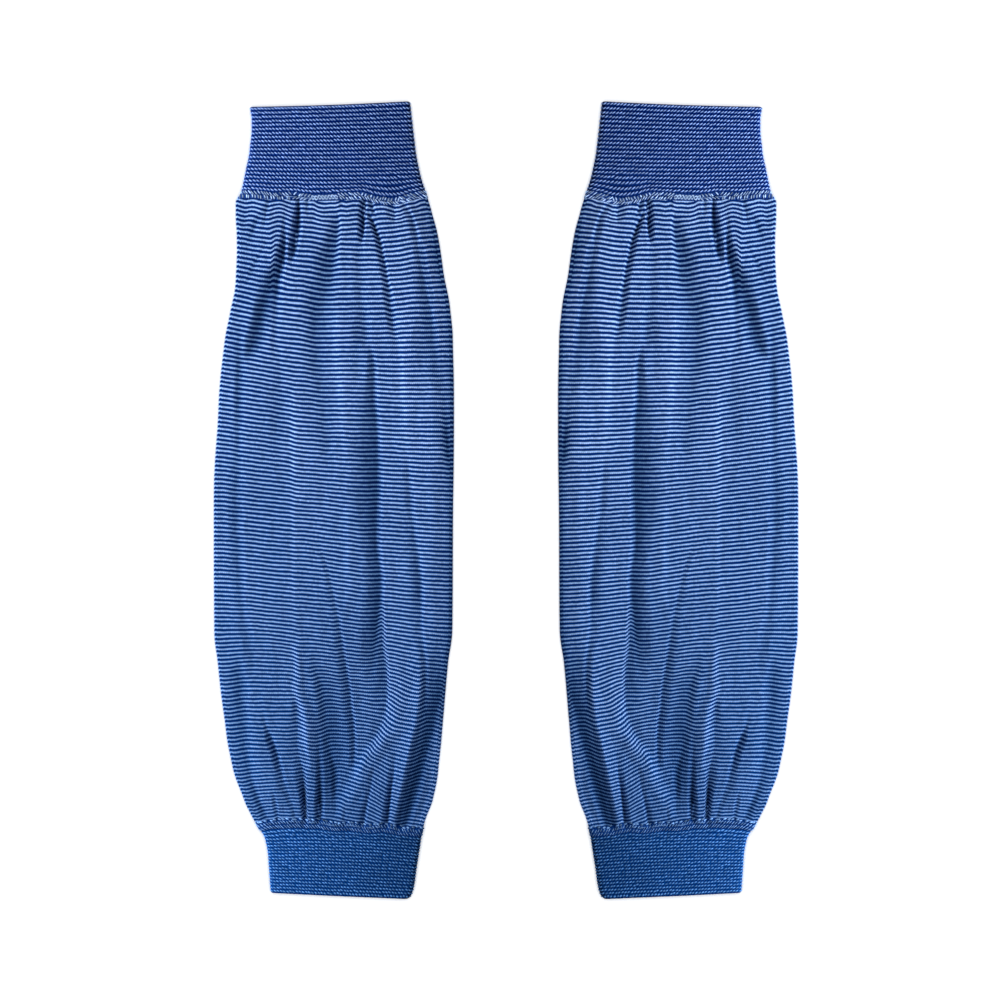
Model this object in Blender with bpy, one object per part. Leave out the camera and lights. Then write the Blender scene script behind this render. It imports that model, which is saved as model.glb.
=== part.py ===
"""A pair of knitted arm sleeves laid flat: fine-striped tubes gathered into wide and narrow cuffs.

Metres, +Z up. The pair lies on the plane z = 0 with its length along Y and the wide upper cuffs
towards +Y. The right sleeve is the left one mirrored in the plane x = 0. The origin is on the
surface under the sleeves, in the middle of the pair. The tables below are in millimetres, and each
piece turns them to metres as it places its points.

Each sleeve is three open tubes pressed flat: the upper cuff, the striped tube and the lower cuff.
A tube's lower layer is flat on the surface. Its upper layer lies on the lower one at the side folds
and in the creases, and stands up between the gathers that take in its fullness at both cuffs.
"""

from bisect import bisect_right
from math import cos, pi, radians, sin
from typing import NamedTuple

import bmesh
import bpy

MM = 0.001

# Driving dimensions, in millimetres
TOP_TO_MIDDLE = 210.0  # from the tables' top line to the middle of the sleeves' length
AXIS_TO_MIDDLE = 90.3  # from each sleeve's axis to the plane between the sleeves
TUBE_WALL = 1.4  # the striped knit, single
CUFF_WALL = 2.1  # the cuff knit, doubled over
LAYER_GAP = 0.5  # between the two layers of a flattened tube, where they lie on each other
SEAM_GAP = 0.3  # between a cuff and the tube that is sewn to it
SHOULDER = 10.0  # how far in from a side fold the upper layer reaches its full height

# How finely each piece is divided
TUBE_RINGS = 26
TUBE_RING_EASE = 0.7
TUBE_TOP_STEPS = 47
CUFF_RINGS = 5
CUFF_TOP_STEPS = 14
BOTTOM_STEPS = 6
FOLD_STEPS = 4
LIP_STEPS = 4
WELD = 0.000001  # in metres, for the points at which a skin closes on itself
SHARP_EDGE = radians(50.0)


class Station(NamedTuple):
    """A line across a sleeve, in millimetres."""

    down: float  # from the sleeve's top edge to the line, on the sleeve's axis
    outer: float  # from the axis to the side fold away from the other sleeve
    inner: float  # from the axis to the side fold beside the other sleeve
    tilt: float  # how much further down the line's outer end is than its inner end
    sag: float  # how much further down the line's middle is than its ends
    edge: float  # how far the layers stand apart at the side folds
    crown: float  # how far they stand apart in the middle


UPPER_CUFF = (
    Station(down=2.4, outer=44.2, inner=39.8, tilt=3.0, sag=0.4, edge=0.0, crown=0.0),
    Station(down=11.5, outer=43.1, inner=40.9, tilt=2.4, sag=0.3, edge=0.1, crown=0.3),
    Station(down=24.0, outer=43.9, inner=42.4, tilt=1.4, sag=0.4, edge=0.2, crown=0.5),
    Station(down=37.0, outer=46.0, inner=44.5, tilt=0.6, sag=0.9, edge=0.1, crown=0.4),
    Station(down=51.5, outer=48.9, inner=48.5, tilt=0.0, sag=1.6, edge=0.0, crown=0.0),
)

TUBE = (
    Station(down=51.5, outer=48.9, inner=48.5, tilt=0.0, sag=1.6, edge=0.7, crown=1.9),
    Station(down=56.0, outer=51.5, inner=50.0, tilt=0.0, sag=1.6, edge=0.8, crown=2.9),
    Station(down=62.0, outer=51.5, inner=51.7, tilt=0.0, sag=1.5, edge=0.8, crown=3.4),
    Station(down=74.5, outer=50.9, inner=54.9, tilt=0.0, sag=1.2, edge=0.8, crown=3.3),
    Station(down=93.5, outer=51.4, inner=57.8, tilt=0.0, sag=0.8, edge=0.8, crown=3.0),
    Station(down=112.0, outer=54.4, inner=61.2, tilt=0.0, sag=0.4, edge=0.7, crown=2.6),
    Station(down=131.0, outer=57.8, inner=62.5, tilt=0.0, sag=0.2, edge=0.6, crown=2.2),
    Station(down=169.0, outer=60.9, inner=63.0, tilt=0.0, sag=0.0, edge=0.5, crown=1.8),
    Station(down=219.5, outer=63.0, inner=62.5, tilt=0.0, sag=0.0, edge=0.5, crown=1.6),
    Station(down=276.0, outer=62.8, inner=62.2, tilt=0.0, sag=0.0, edge=0.5, crown=1.7),
    Station(down=295.0, outer=61.0, inner=60.0, tilt=0.0, sag=0.0, edge=0.6, crown=2.0),
    Station(down=326.5, outer=57.2, inner=57.2, tilt=-0.2, sag=-0.1, edge=0.7, crown=2.8),
    Station(down=345.5, outer=54.1, inner=55.3, tilt=-0.8, sag=-0.6, edge=0.8, crown=3.3),
    Station(down=364.5, outer=48.0, inner=52.1, tilt=-1.6, sag=-1.4, edge=0.8, crown=3.4),
    Station(down=374.0, outer=43.7, inner=48.3, tilt=-2.2, sag=-2.0, edge=0.8, crown=2.9),
    Station(down=380.8, outer=39.6, inner=46.3, tilt=-2.6, sag=-2.4, edge=0.7, crown=1.9),
)

LOWER_CUFF = (
    Station(down=380.8, outer=39.6, inner=46.3, tilt=-2.6, sag=-2.4, edge=0.0, crown=0.0),
    Station(down=390.0, outer=35.5, inner=45.0, tilt=-2.8, sag=-1.6, edge=0.1, crown=0.4),
    Station(down=402.0, outer=34.1, inner=43.2, tilt=-3.0, sag=-0.8, edge=0.2, crown=0.5),
    Station(down=414.2, outer=33.3, inner=41.2, tilt=-3.2, sag=-0.2, edge=0.1, crown=0.2),
    Station(down=417.9, outer=33.0, inner=39.0, tilt=-3.3, sag=0.0, edge=0.0, crown=0.0),
)


class Gather(NamedTuple):
    """A tuck that runs into the upper layer from a cuff seam, in millimetres."""

    out: float  # from the axis, outward, to where it leaves the seam
    drift: float  # how far outward it wanders over its reach
    reach: float  # how far it runs from the seam
    width: float  # from its bottom to where it meets the cloth beside it
    depth: float  # how much of the upper layer's standing height it takes, from 0 to 1


GATHERS_AT_UPPER_SEAM = (
    Gather(out=44.6, drift=3.0, reach=30.0, width=3.4, depth=0.6),
    Gather(out=35.2, drift=6.0, reach=42.0, width=4.4, depth=0.7),
    Gather(out=26.4, drift=3.0, reach=24.0, width=3.4, depth=0.6),
    Gather(out=20.0, drift=17.0, reach=64.0, width=4.4, depth=1.0),
    Gather(out=8.4, drift=2.0, reach=48.0, width=5.0, depth=0.6),
    Gather(out=-3.7, drift=3.2, reach=140.0, width=4.2, depth=0.8),
    Gather(out=-14.2, drift=-6.0, reach=58.0, width=4.4, depth=1.0),
    Gather(out=-22.0, drift=-8.0, reach=64.0, width=4.2, depth=0.8),
    Gather(out=-32.0, drift=-4.0, reach=36.0, width=4.2, depth=0.7),
    Gather(out=-39.6, drift=-9.0, reach=50.0, width=4.2, depth=0.9),
)

GATHERS_AT_LOWER_SEAM = (
    Gather(out=31.0, drift=8.0, reach=34.0, width=3.8, depth=0.5),
    Gather(out=22.4, drift=5.0, reach=30.0, width=3.4, depth=0.6),
    Gather(out=15.4, drift=4.6, reach=92.0, width=4.2, depth=1.0),
    Gather(out=7.8, drift=1.0, reach=34.0, width=3.8, depth=0.8),
    Gather(out=-6.0, drift=1.6, reach=44.0, width=4.6, depth=0.6),
    Gather(out=-15.8, drift=0.6, reach=58.0, width=4.2, depth=0.8),
    Gather(out=-26.8, drift=-1.0, reach=110.0, width=4.8, depth=1.0),
    Gather(out=-34.6, drift=-3.0, reach=46.0, width=3.8, depth=0.9),
    Gather(out=-41.0, drift=-6.0, reach=32.0, width=3.4, depth=0.6),
)


class Crease(NamedTuple):
    """A soft trough in the upper layer, clear of the seams, in millimetres."""

    out: float  # from the axis, outward, to its upper end
    down: float  # from the sleeve's top edge to its upper end
    out_end: float  # the same two distances to its lower end
    down_end: float
    width: float  # from its bottom to where it meets the cloth beside it
    depth: float  # how much of the upper layer's standing height it takes, from 0 to 1


CREASES = (
    Crease(out=28.0, down=76.0, out_end=49.0, down_end=90.0, width=4.0, depth=0.5),
    Crease(out=20.5, down=86.0, out_end=20.0, down_end=118.0, width=4.4, depth=0.6),
    Crease(out=20.0, down=138.0, out_end=21.0, down_end=186.0, width=4.6, depth=0.6),
    Crease(out=-21.5, down=120.0, out_end=-26.4, down_end=274.0, width=7.0, depth=0.9),
    Crease(out=50.5, down=126.0, out_end=51.0, down_end=274.0, width=5.0, depth=0.5),
    Crease(out=-44.0, down=150.0, out_end=-47.0, down_end=230.0, width=5.0, depth=0.4),
)


class Knit(NamedTuple):
    """The finish of one piece: its colour as sRGB hex, and its roughness."""

    name: str
    colour: str
    roughness: float


UPPER_CUFF_KNIT = Knit(name="upper_cuff_knit", colour="344F8D", roughness=0.9)
STRIPED_KNIT = Knit(name="striped_knit", colour="4769A0", roughness=0.85)
LOWER_CUFF_KNIT = Knit(name="lower_cuff_knit", colour="214A85", roughness=0.9)


def slope(low: Station, high: Station, column: int) -> float:
    """Return how fast a column changes between two stations."""
    return (high[column] - low[column]) / (high.down - low.down)


def tangent(stations: tuple[Station, ...], index: int, column: int) -> float:
    """Return a column's slope at a station: level at a turn, and never so steep that it overshoots."""
    last = len(stations) - 1
    before = slope(stations[max(index - 1, 0)], stations[max(index, 1)], column)
    after = slope(stations[min(index, last - 1)], stations[min(index + 1, last)], column)
    if before * after <= 0.0:
        return 0.0
    return 2.0 * before * after / (before + after)


def station_at(stations: tuple[Station, ...], down: float) -> Station:
    """Return the station at a distance down the sleeve, on smooth curves through the table."""
    downs = [station.down for station in stations]
    index = min(max(bisect_right(downs, down), 1), len(stations) - 1)
    low, high = stations[index - 1], stations[index]
    span = high.down - low.down
    part = (down - low.down) / span
    values = []
    for column in range(1, len(low)):
        start = low[column] + part * span * tangent(stations, index - 1, column)
        end = high[column] - (1.0 - part) * span * tangent(stations, index, column)
        ease = part * part * (3.0 - 2.0 * part)
        values.append(start + (end - start) * ease)
    return Station(down, *values)


def gather_creases(gathers: tuple[Gather, ...], seam: Station, way: float) -> list[Crease]:
    """Return gathers as creases twice as long that cross the seam, so each is deepest where it is sewn."""
    return [
        Crease(
            out=gather.out - gather.drift,
            down=seam.down - way * gather.reach,
            out_end=gather.out + gather.drift,
            down_end=seam.down + way * gather.reach,
            width=gather.width,
            depth=gather.depth,
        )
        for gather in gathers
    ]


TUBE_CREASES = (
    *gather_creases(GATHERS_AT_UPPER_SEAM, TUBE[0], way=1.0),
    *gather_creases(GATHERS_AT_LOWER_SEAM, TUBE[-1], way=-1.0),
    *CREASES,
)


def crease_depth(crease: Crease, out: float, down: float) -> float:
    """Return how much of the standing height a crease takes at a point."""
    run_out = crease.out_end - crease.out
    run_down = crease.down_end - crease.down
    length = (run_out * run_out + run_down * run_down) ** 0.5
    along = ((out - crease.out) * run_out + (down - crease.down) * run_down) / length**2
    across = ((out - crease.out) * run_down - (down - crease.down) * run_out) / length
    if not 0.0 < along < 1.0 or abs(across) >= crease.width:
        return 0.0
    return crease.depth * sin(pi * along) * (0.5 + 0.5 * cos(pi * across / crease.width))


def lift(station: Station, creases: tuple[Crease, ...], out: float, from_fold: float) -> float:
    """Return how far the upper layer rises above its side folds at a distance out from the axis."""
    rise = min(max(from_fold / SHOULDER, 0.0), 1.0)
    shoulder = rise * rise * (3.0 - 2.0 * rise)
    taken = max((crease_depth(crease, out, station.down) for crease in creases), default=0.0)
    return shoulder * (station.crown - station.edge) * (1.0 - taken)


class Piece(NamedTuple):
    """One open tube of a sleeve, pressed flat."""

    name: str
    stations: tuple[Station, ...]
    creases: tuple[Crease, ...]
    wall: float
    rings: int
    ring_ease: float  # from 0, evenly spaced, towards 1, crowded at both ends
    top_steps: int
    lip_at_top: bool = False
    lip_at_bottom: bool = False
    knit: Knit = STRIPED_KNIT


PIECES = (
    Piece(
        name="upper_cuff",
        stations=UPPER_CUFF,
        creases=(),
        wall=CUFF_WALL,
        rings=CUFF_RINGS,
        ring_ease=0.0,
        top_steps=CUFF_TOP_STEPS,
        lip_at_top=True,
        knit=UPPER_CUFF_KNIT,
    ),
    Piece(
        name="sleeve_tube",
        stations=TUBE,
        creases=TUBE_CREASES,
        wall=TUBE_WALL,
        rings=TUBE_RINGS,
        ring_ease=TUBE_RING_EASE,
        top_steps=TUBE_TOP_STEPS,
    ),
    Piece(
        name="lower_cuff",
        stations=LOWER_CUFF,
        creases=(),
        wall=CUFF_WALL,
        rings=CUFF_RINGS,
        ring_ease=0.0,
        top_steps=CUFF_TOP_STEPS,
        lip_at_bottom=True,
        knit=LOWER_CUFF_KNIT,
    ),
)


def section(piece: Piece, station: Station, inset: float) -> list[tuple[float, float]]:
    """Return the points round one section, as distances out from the axis and up from the surface.

    The points run over the upper layer, round the outer side fold, back along the lower layer and
    round the inner side fold, all inset from the outer face.
    """
    height = 2.0 * piece.wall + LAYER_GAP + station.edge
    fold = height / 2.0
    bend = fold - inset
    inner_end = fold - station.inner
    outer_end = station.outer - fold
    points = []
    for step in range(piece.top_steps):
        out = inner_end + (outer_end - inner_end) * step / piece.top_steps
        rise = lift(station, piece.creases, out, min(out - inner_end, outer_end - out))
        points.append((out, height - inset + rise))
    for step in range(FOLD_STEPS):
        turn = pi * step / FOLD_STEPS
        points.append((outer_end + bend * sin(turn), fold + bend * cos(turn)))
    for step in range(BOTTOM_STEPS):
        out = outer_end + (inner_end - outer_end) * step / BOTTOM_STEPS
        points.append((out, inset))
    for step in range(FOLD_STEPS):
        turn = pi * step / FOLD_STEPS
        points.append((inner_end - bend * sin(turn), fold - bend * cos(turn)))
    return points


def ring_places(piece: Piece) -> list[tuple[float, float]]:
    """Return each ring's distance down the sleeve and its inset, down the outer face and up the inner."""
    lip = piece.wall / 2.0
    first = piece.stations[0].down + (lip if piece.lip_at_top else SEAM_GAP / 2.0)
    last = piece.stations[-1].down - (lip if piece.lip_at_bottom else SEAM_GAP / 2.0)
    downs = []
    for ring in range(piece.rings):
        part = ring / (piece.rings - 1)
        eased = part - piece.ring_ease * sin(2.0 * pi * part) / (2.0 * pi)
        downs.append(first + (last - first) * eased)
    lip_turns = [pi * step / LIP_STEPS for step in range(1, LIP_STEPS)]
    places = [(down, 0.0) for down in downs]
    if piece.lip_at_bottom:
        places += [(last + lip * sin(turn), lip - lip * cos(turn)) for turn in lip_turns]
    places += [(down, piece.wall) for down in reversed(downs)]
    if piece.lip_at_top:
        places += [(first - lip * sin(turn), lip + lip * cos(turn)) for turn in lip_turns]
    return places


def further_down(station: Station, out: float) -> float:
    """Return how much further down a station's line is at a distance out than it is on the axis."""
    side = out / (station.outer if out > 0.0 else station.inner)
    return station.tilt * side / 2.0 - station.sag * side * side


def rings_of(piece: Piece, side: float) -> list[list[tuple[float, float, float]]]:
    """Return a piece's rings of points, in metres from where its top line crosses the axis."""
    rings = []
    for down, inset in ring_places(piece):
        station = station_at(piece.stations, down)
        ring = []
        for out, up in section(piece, station, inset):
            below = down - piece.stations[0].down + further_down(station, out)
            ring.append((side * out * MM, -below * MM, up * MM))
        rings.append(ring)
    return rings


def skin(name: str, rings: list[list[tuple[float, float, float]]]) -> bpy.types.Mesh:
    """Return a closed mesh that joins each ring to the next and the last ring to the first."""
    columns = len(rings[0])
    form = bmesh.new()
    bmesh.ops.create_grid(form, x_segments=columns, y_segments=len(rings), size=1.0)
    for index, vertex in enumerate(form.verts):
        row, column = divmod(index, columns + 1)
        vertex.co = rings[row % len(rings)][column % columns]
    bmesh.ops.remove_doubles(form, verts=form.verts, dist=WELD)
    bmesh.ops.recalc_face_normals(form, faces=form.faces)
    mesh = bpy.data.meshes.new(name)
    form.to_mesh(mesh)
    form.free()
    mesh.shade_smooth()
    mesh.set_sharp_from_angle(angle=SHARP_EDGE)
    return mesh


def linear(channel: float) -> float:
    """Return an sRGB channel as a linear one."""
    if channel <= 0.04045:
        return channel / 12.92
    return ((channel + 0.055) / 1.055) ** 2.4


def material(knit: Knit) -> bpy.types.Material:
    """Return the material of a knit."""
    made = bpy.data.materials.new(knit.name)
    made.use_nodes = True
    shader = made.node_tree.nodes["Principled BSDF"]
    channels = [linear(value / 255.0) for value in bytes.fromhex(knit.colour)]
    shader.inputs["Base Color"].default_value = (*channels, 1.0)
    shader.inputs["Roughness"].default_value = knit.roughness
    shader.inputs["Metallic"].default_value = 0.0
    return made


def build_sleeve(name: str, side: float, materials: dict[str, bpy.types.Material]) -> None:
    """Build one sleeve's three pieces under an empty on its axis. Side is -1 on the left, 1 on the right."""
    axis = bpy.data.objects.new(f"{name}_axis", None)
    axis.location = (side * AXIS_TO_MIDDLE * MM, TOP_TO_MIDDLE * MM, 0.0)
    bpy.context.collection.objects.link(axis)
    for piece in PIECES:
        mesh = skin(f"{name}_{piece.name}", rings_of(piece, side))
        mesh.materials.append(materials[piece.knit.name])
        body = bpy.data.objects.new(mesh.name, mesh)
        body.parent = axis
        body.location = (0.0, -piece.stations[0].down * MM, 0.0)
        bpy.context.collection.objects.link(body)


def main() -> None:
    """Clear the scene and build the pair."""
    for old in list(bpy.data.objects):
        bpy.data.objects.remove(old, do_unlink=True)
    materials = {piece.knit.name: material(piece.knit) for piece in PIECES}
    build_sleeve("left", -1.0, materials)
    build_sleeve("right", 1.0, materials)


if __name__ == "__main__":
    main()
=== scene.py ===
"""Soft form, knit finishes, sewing and studio for a pair of striped arm sleeves laid flat.

The frame is in metres, +Z up, with the pair flat on z = 0, its length along Y and its wide cuffs
towards +Y. Tables and fields here are in millimetres. "Out" is the distance from a sleeve's own axis
towards its outer side, and "down" the distance from the line of the top edges towards the wrists.
The right sleeve is the left one mirrored in the plane x = 0.
"""

import logging
from dataclasses import dataclass, field
from enum import Enum
from math import pi, radians

import bmesh
import bpy
import numpy as np
from mathutils import Matrix, Vector

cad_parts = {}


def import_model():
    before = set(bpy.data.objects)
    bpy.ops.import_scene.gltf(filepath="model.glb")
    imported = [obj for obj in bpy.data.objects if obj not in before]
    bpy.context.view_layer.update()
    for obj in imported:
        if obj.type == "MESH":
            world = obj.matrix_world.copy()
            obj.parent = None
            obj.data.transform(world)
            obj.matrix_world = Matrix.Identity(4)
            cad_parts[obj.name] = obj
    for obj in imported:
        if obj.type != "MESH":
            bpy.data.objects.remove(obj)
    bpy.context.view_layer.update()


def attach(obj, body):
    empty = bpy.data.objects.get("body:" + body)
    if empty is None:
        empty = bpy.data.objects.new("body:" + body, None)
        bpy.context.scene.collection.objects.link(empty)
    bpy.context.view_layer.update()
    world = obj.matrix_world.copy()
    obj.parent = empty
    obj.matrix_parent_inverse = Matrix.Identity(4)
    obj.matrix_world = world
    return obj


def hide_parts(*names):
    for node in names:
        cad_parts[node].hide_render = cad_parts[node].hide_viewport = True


log = logging.getLogger("arm_sleeves")

MM = 0.001

# Driving dimensions, in millimetres, as in the solids
TOP_TO_MIDDLE = 210.0
AXIS_TO_MIDDLE = 90.3
TUBE_WALL = 1.4
CUFF_WALL = 2.1
LAYER_GAP = 0.5
SEAM_GAP = 0.3
SHOULDER = 10.0
UPPER_SEAM = 51.5
LOWER_SEAM = 380.8

# The soft form's own sizes, in millimetres
TUBE_LENGTH = 333.0  # of the striped knit's cut that shows
STRIPE_PITCH = 2.22  # from stripe to stripe on the cut
TUBE_PUFF = 0.7  # how much further the striped knit stands up between its creases
PUFF_FADE = 0.8  # the puff fades out where the knit stands up less than this
RUMPLE = 0.12  # how far small rumples lift or sink the upper layer
RUMPLE_FADE = 2.0  # the rumples fade out where the knit stands up less than this
OUTER_SHOULDER = 16.0  # how far in from the outer fold the upper layer still rises
STITCH_LIFT = 0.45  # how far the stitches beneath a cuff hold it off the surface
CREASE_LIFT = 0.5  # how far a full crease beneath a sleeve leaves the surface
UNDER_TURN = -0.94  # a point beneath takes its creases from above at this many times its distance out
UNDER_SHIFT = 3.0  # and from this much further down
RIPPLE_REACH = 20.0  # how far down from the upper seam its gathers ripple the stripes
SLIP_REACH = 15.0  # how far from a crease the stripes still lie out of line for it
THREAD_LIFT = 0.95  # how far a band and its threads hold the cloth beside them off the surface
BAND_FADE = 4.16  # over how far the cloth beside a band comes down again
BAND_HOLD = 0.8 * BAND_FADE  # from a seam line as far as the cloth is held up in full
BAND_RISE = 0.35  # how far a sewn band stands over the cloth that it joins
BAND_SINK = 0.06  # how far a band's edges lie in that cloth
BAND_BLEND = 0.7  # how steeply a band crosses from cuff to tube; 0.5 takes its whole width
LOOP_THREAD = 0.26  # half the thickness of a loop's thread, as a share of the loop's half length
UPPER_CUFF_FOLLOWS = 12.0  # how far from its seam the wide cuff still follows the seam's line
TUBE_FOLLOWS = 26.0  # the same for the striped tube
LOWER_CUFF_FOLLOWS = 9.0  # and for the narrow cuff

# Painted light and shade on the knit, as shares, and over how many millimetres
HOLLOW_SHADE = 0.72  # how much darker painted shade makes it deep in a crease
RIDGE_LIMIT = -0.3  # the hollow below which a ridge gets no more painted light
INNER_FOLD_REACH = 6.0  # how far in from the inner fold it is shaded
OUTER_FOLD_REACH = 24.0  # how far in from the outer fold it is shaded
INNER_LIGHT = 0.18  # how much lighter painted light makes the striped knit at its inner side
INNER_LIGHT_FROM = -8.0  # the distance out from which it grows lighter
INNER_LIGHT_REACH = 48.0  # over how far it does
EDGE_SHADE = 0.5  # how much darker a cuff is on the fold that turns away from the light
EDGE_REACH = 4.0  # how far in from that fold it is shaded

WELD = 0.000001
CUT_UV = "cut"
SHADE = "shade"
TONE = "tone"


class Side(Enum):
    """Which sleeve of the pair, with the direction along X in which its outer side lies."""

    LEFT = -1.0
    RIGHT = 1.0

    @property
    def word(self) -> str:
        """Return the side's name as it starts the nodes' names."""
        return self.name.lower()


def ease(part: np.ndarray) -> np.ndarray:
    """Return a share from 0 to 1 with a soft start and end."""
    clipped = np.clip(part, 0.0, 1.0)
    return clipped * clipped * (3.0 - 2.0 * clipped)


@dataclass(frozen=True)
class SmoothTable:
    """Curves through the rows of a table, whose first column says where each row stands."""

    rows: tuple[tuple[float, ...], ...]

    def at(self, where: np.ndarray) -> np.ndarray:
        """Read the other columns, on curves that are level at a turn and never overshoot.

        Args:
            where: Places along the first column, of any shape. Past its ends the end rows hold.

        Returns:
            One array of that shape for each column after the first.
        """
        table = np.array(self.rows, float)
        stands, values = table[:, 0], table[:, 1:]
        slopes = np.diff(values, axis=0) / np.diff(stands)[:, None]
        before = np.vstack((slopes[:1], slopes))
        after = np.vstack((slopes, slopes[-1:]))
        turning = before * after <= 0.0
        tangents = np.where(turning, 0.0, 2.0 * before * after / np.where(turning, 1.0, before + after))
        held = np.clip(where, stands[0], stands[-1])
        index = np.clip(np.searchsorted(stands, held, side="right") - 1, 0, len(stands) - 2)
        span = stands[index + 1] - stands[index]
        part = (held - stands[index]) / span
        share = ease(part)
        columns = []
        for column in range(values.shape[1]):
            start = values[index, column] + part * span * tangents[index, column]
            end = values[index + 1, column] - (1.0 - part) * span * tangents[index + 1, column]
            columns.append(start + (end - start) * share)
        return np.array(columns)


# Columns: down; outer and inner, from the axis to either side; tilt and sag of the line across; edge
# and crown, how much further apart than LAYER_GAP the layers are at the side folds and in the middle
UPPER_CUFF = SmoothTable((
    (2.4, 44.2, 39.8, 3.0, 0.4, 0.0, 0.0),
    (11.5, 43.1, 40.9, 2.4, 0.3, 0.1, 0.3),
    (24.0, 43.9, 42.4, 1.4, 0.4, 0.2, 0.5),
    (37.0, 46.0, 44.5, 0.6, 0.9, 0.1, 0.4),
    (51.5, 48.9, 48.5, 0.0, 1.6, 0.0, 0.0),
))
TUBE = SmoothTable((
    (51.5, 48.9, 48.5, 0.0, 1.6, 0.7, 1.9),
    (56.0, 51.5, 50.0, 0.0, 1.6, 0.8, 2.9),
    (62.0, 51.5, 51.7, 0.0, 1.5, 0.8, 3.4),
    (74.5, 50.9, 54.9, 0.0, 1.2, 0.8, 3.3),
    (93.5, 51.4, 57.8, 0.0, 0.8, 0.8, 3.0),
    (112.0, 54.4, 61.2, 0.0, 0.4, 0.7, 2.6),
    (131.0, 57.8, 62.5, 0.0, 0.2, 0.6, 2.2),
    (169.0, 60.9, 63.0, 0.0, 0.0, 0.5, 1.8),
    (219.5, 63.0, 62.5, 0.0, 0.0, 0.5, 1.6),
    (276.0, 62.8, 62.2, 0.0, 0.0, 0.5, 1.7),
    (295.0, 61.0, 60.0, 0.0, 0.0, 0.6, 2.0),
    (326.5, 57.2, 57.2, -0.2, -0.1, 0.7, 2.8),
    (345.5, 54.1, 55.3, -0.8, -0.6, 0.8, 3.3),
    (364.5, 48.0, 52.1, -1.6, -1.4, 0.8, 3.4),
    (374.0, 43.7, 48.3, -2.2, -2.0, 0.8, 2.9),
    (380.8, 39.6, 46.3, -2.6, -2.4, 0.7, 1.9),
))
LOWER_CUFF = SmoothTable((
    (380.8, 39.6, 46.3, -2.6, -2.4, 0.0, 0.0),
    (390.0, 35.5, 45.0, -2.8, -1.6, 0.1, 0.4),
    (402.0, 34.1, 43.2, -3.0, -0.8, 0.2, 0.5),
    (414.2, 33.3, 41.2, -3.2, -0.2, 0.1, 0.2),
    (417.9, 33.0, 39.0, -3.3, 0.0, 0.0, 0.0),
))

# Columns: distance out, how far the gathers pull the seam line down there
UPPER_WAVE = SmoothTable((
    (-48.5, 0.0), (-41.0, 0.9), (-32.0, 3.0), (-21.5, 1.6), (-14.0, -0.7), (-5.0, -0.2), (5.0, 0.2),
    (14.0, 0.4), (20.0, -0.5), (32.0, 0.1), (40.0, -0.4), (48.9, 0.2),
))
LOWER_WAVE = SmoothTable((
    (-46.3, 0.0), (-34.6, 0.4), (-27.0, -0.5), (-18.0, 0.9), (-9.0, 0.0), (0.0, 0.4), (6.0, -0.6),
    (12.6, -0.9), (22.4, -1.4), (31.0, -1.2), (39.6, 0.0),
))
# Columns: down, how much darker painted shade makes the striped knit on its inner fold and on its outer
# one; below zero, painted light makes it lighter
FOLD_SHADES = SmoothTable((
    (52.0, 0.35, 0.12), (80.0, 0.55, 0.14), (120.0, 0.55, 0.12), (160.0, 0.55, 0.08), (290.0, 0.55, 0.07),
    (325.0, 0.3, 0.1), (348.0, -0.3, 0.07), (372.0, -0.35, 0.0), (384.0, -0.1, 0.0),
))

# Columns: distance out, how far the gathers at the upper seam carry the stripes down there
UPPER_RIPPLES = SmoothTable((
    (-49.0, -0.2), (-43.0, -0.1), (-40.0, 0.1), (-37.0, 0.5), (-34.0, 1.5), (-31.0, 0.5), (-28.0, 0.4),
    (-24.0, -0.1), (-16.0, -0.3), (-10.0, -0.5), (-7.0, -0.3), (-4.0, -0.9), (-1.0, 0.0), (2.0, 0.4),
    (5.0, 0.9), (8.0, 0.6), (11.0, -0.5), (14.0, -0.1), (38.0, 0.0), (42.0, -0.5), (46.0, 0.2), (49.0, 0.0),
))


@dataclass(frozen=True)
class Crease:
    """A trough that runs down the upper layer, or a ridge where its depth is below zero."""

    rows: SmoothTable  # columns: down, distance out of its bottom, outer and inner width, depth
    crisp: float  # how sharply it turns at its bottom, from 0 to 1
    dip: float  # how much further down the stripes lie at its bottom
    slip: float  # how much further down they lie just outside it than just inside it

    def taken(self, out: np.ndarray, down: np.ndarray) -> np.ndarray:
        """Return the share of the standing height that the crease takes at each point."""
        line, outer, inner, depth = self.rows.at(down)
        across = out - line
        reach = np.clip(np.abs(across) / np.where(across > 0.0, outer, inner), 0.0, 1.0)
        return depth * (1.0 - reach) ** 2 * (1.0 + 2.0 * reach * (1.0 - self.crisp))

    def fall(self, out: np.ndarray, down: np.ndarray) -> np.ndarray:
        """Return how far the crease carries the stripes down at each point."""
        line, outer, inner, depth = self.rows.at(down)
        strength = np.minimum(np.abs(depth) / np.abs(np.array(self.rows.rows)[:, 4]).max(), 1.0)
        across = out - line
        reach = np.clip(across / np.where(across > 0.0, outer, inner), -1.0, 1.0)
        bottom = (1.0 - np.abs(reach)) ** 2 * (1.0 + 2.0 * np.abs(reach))
        beside = reach * (1.5 - 0.5 * reach * reach) * ease(1.0 - np.abs(across) / SLIP_REACH) / 2.0
        return strength * (self.dip * bottom + self.slip * beside)


def folded(crisp: float, dip: float, slip: float, *rows: tuple[float, ...]) -> Crease:
    """Return a crease with its rows, whose columns are those of Crease.rows."""
    return Crease(SmoothTable(rows), crisp, dip, slip)


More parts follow.
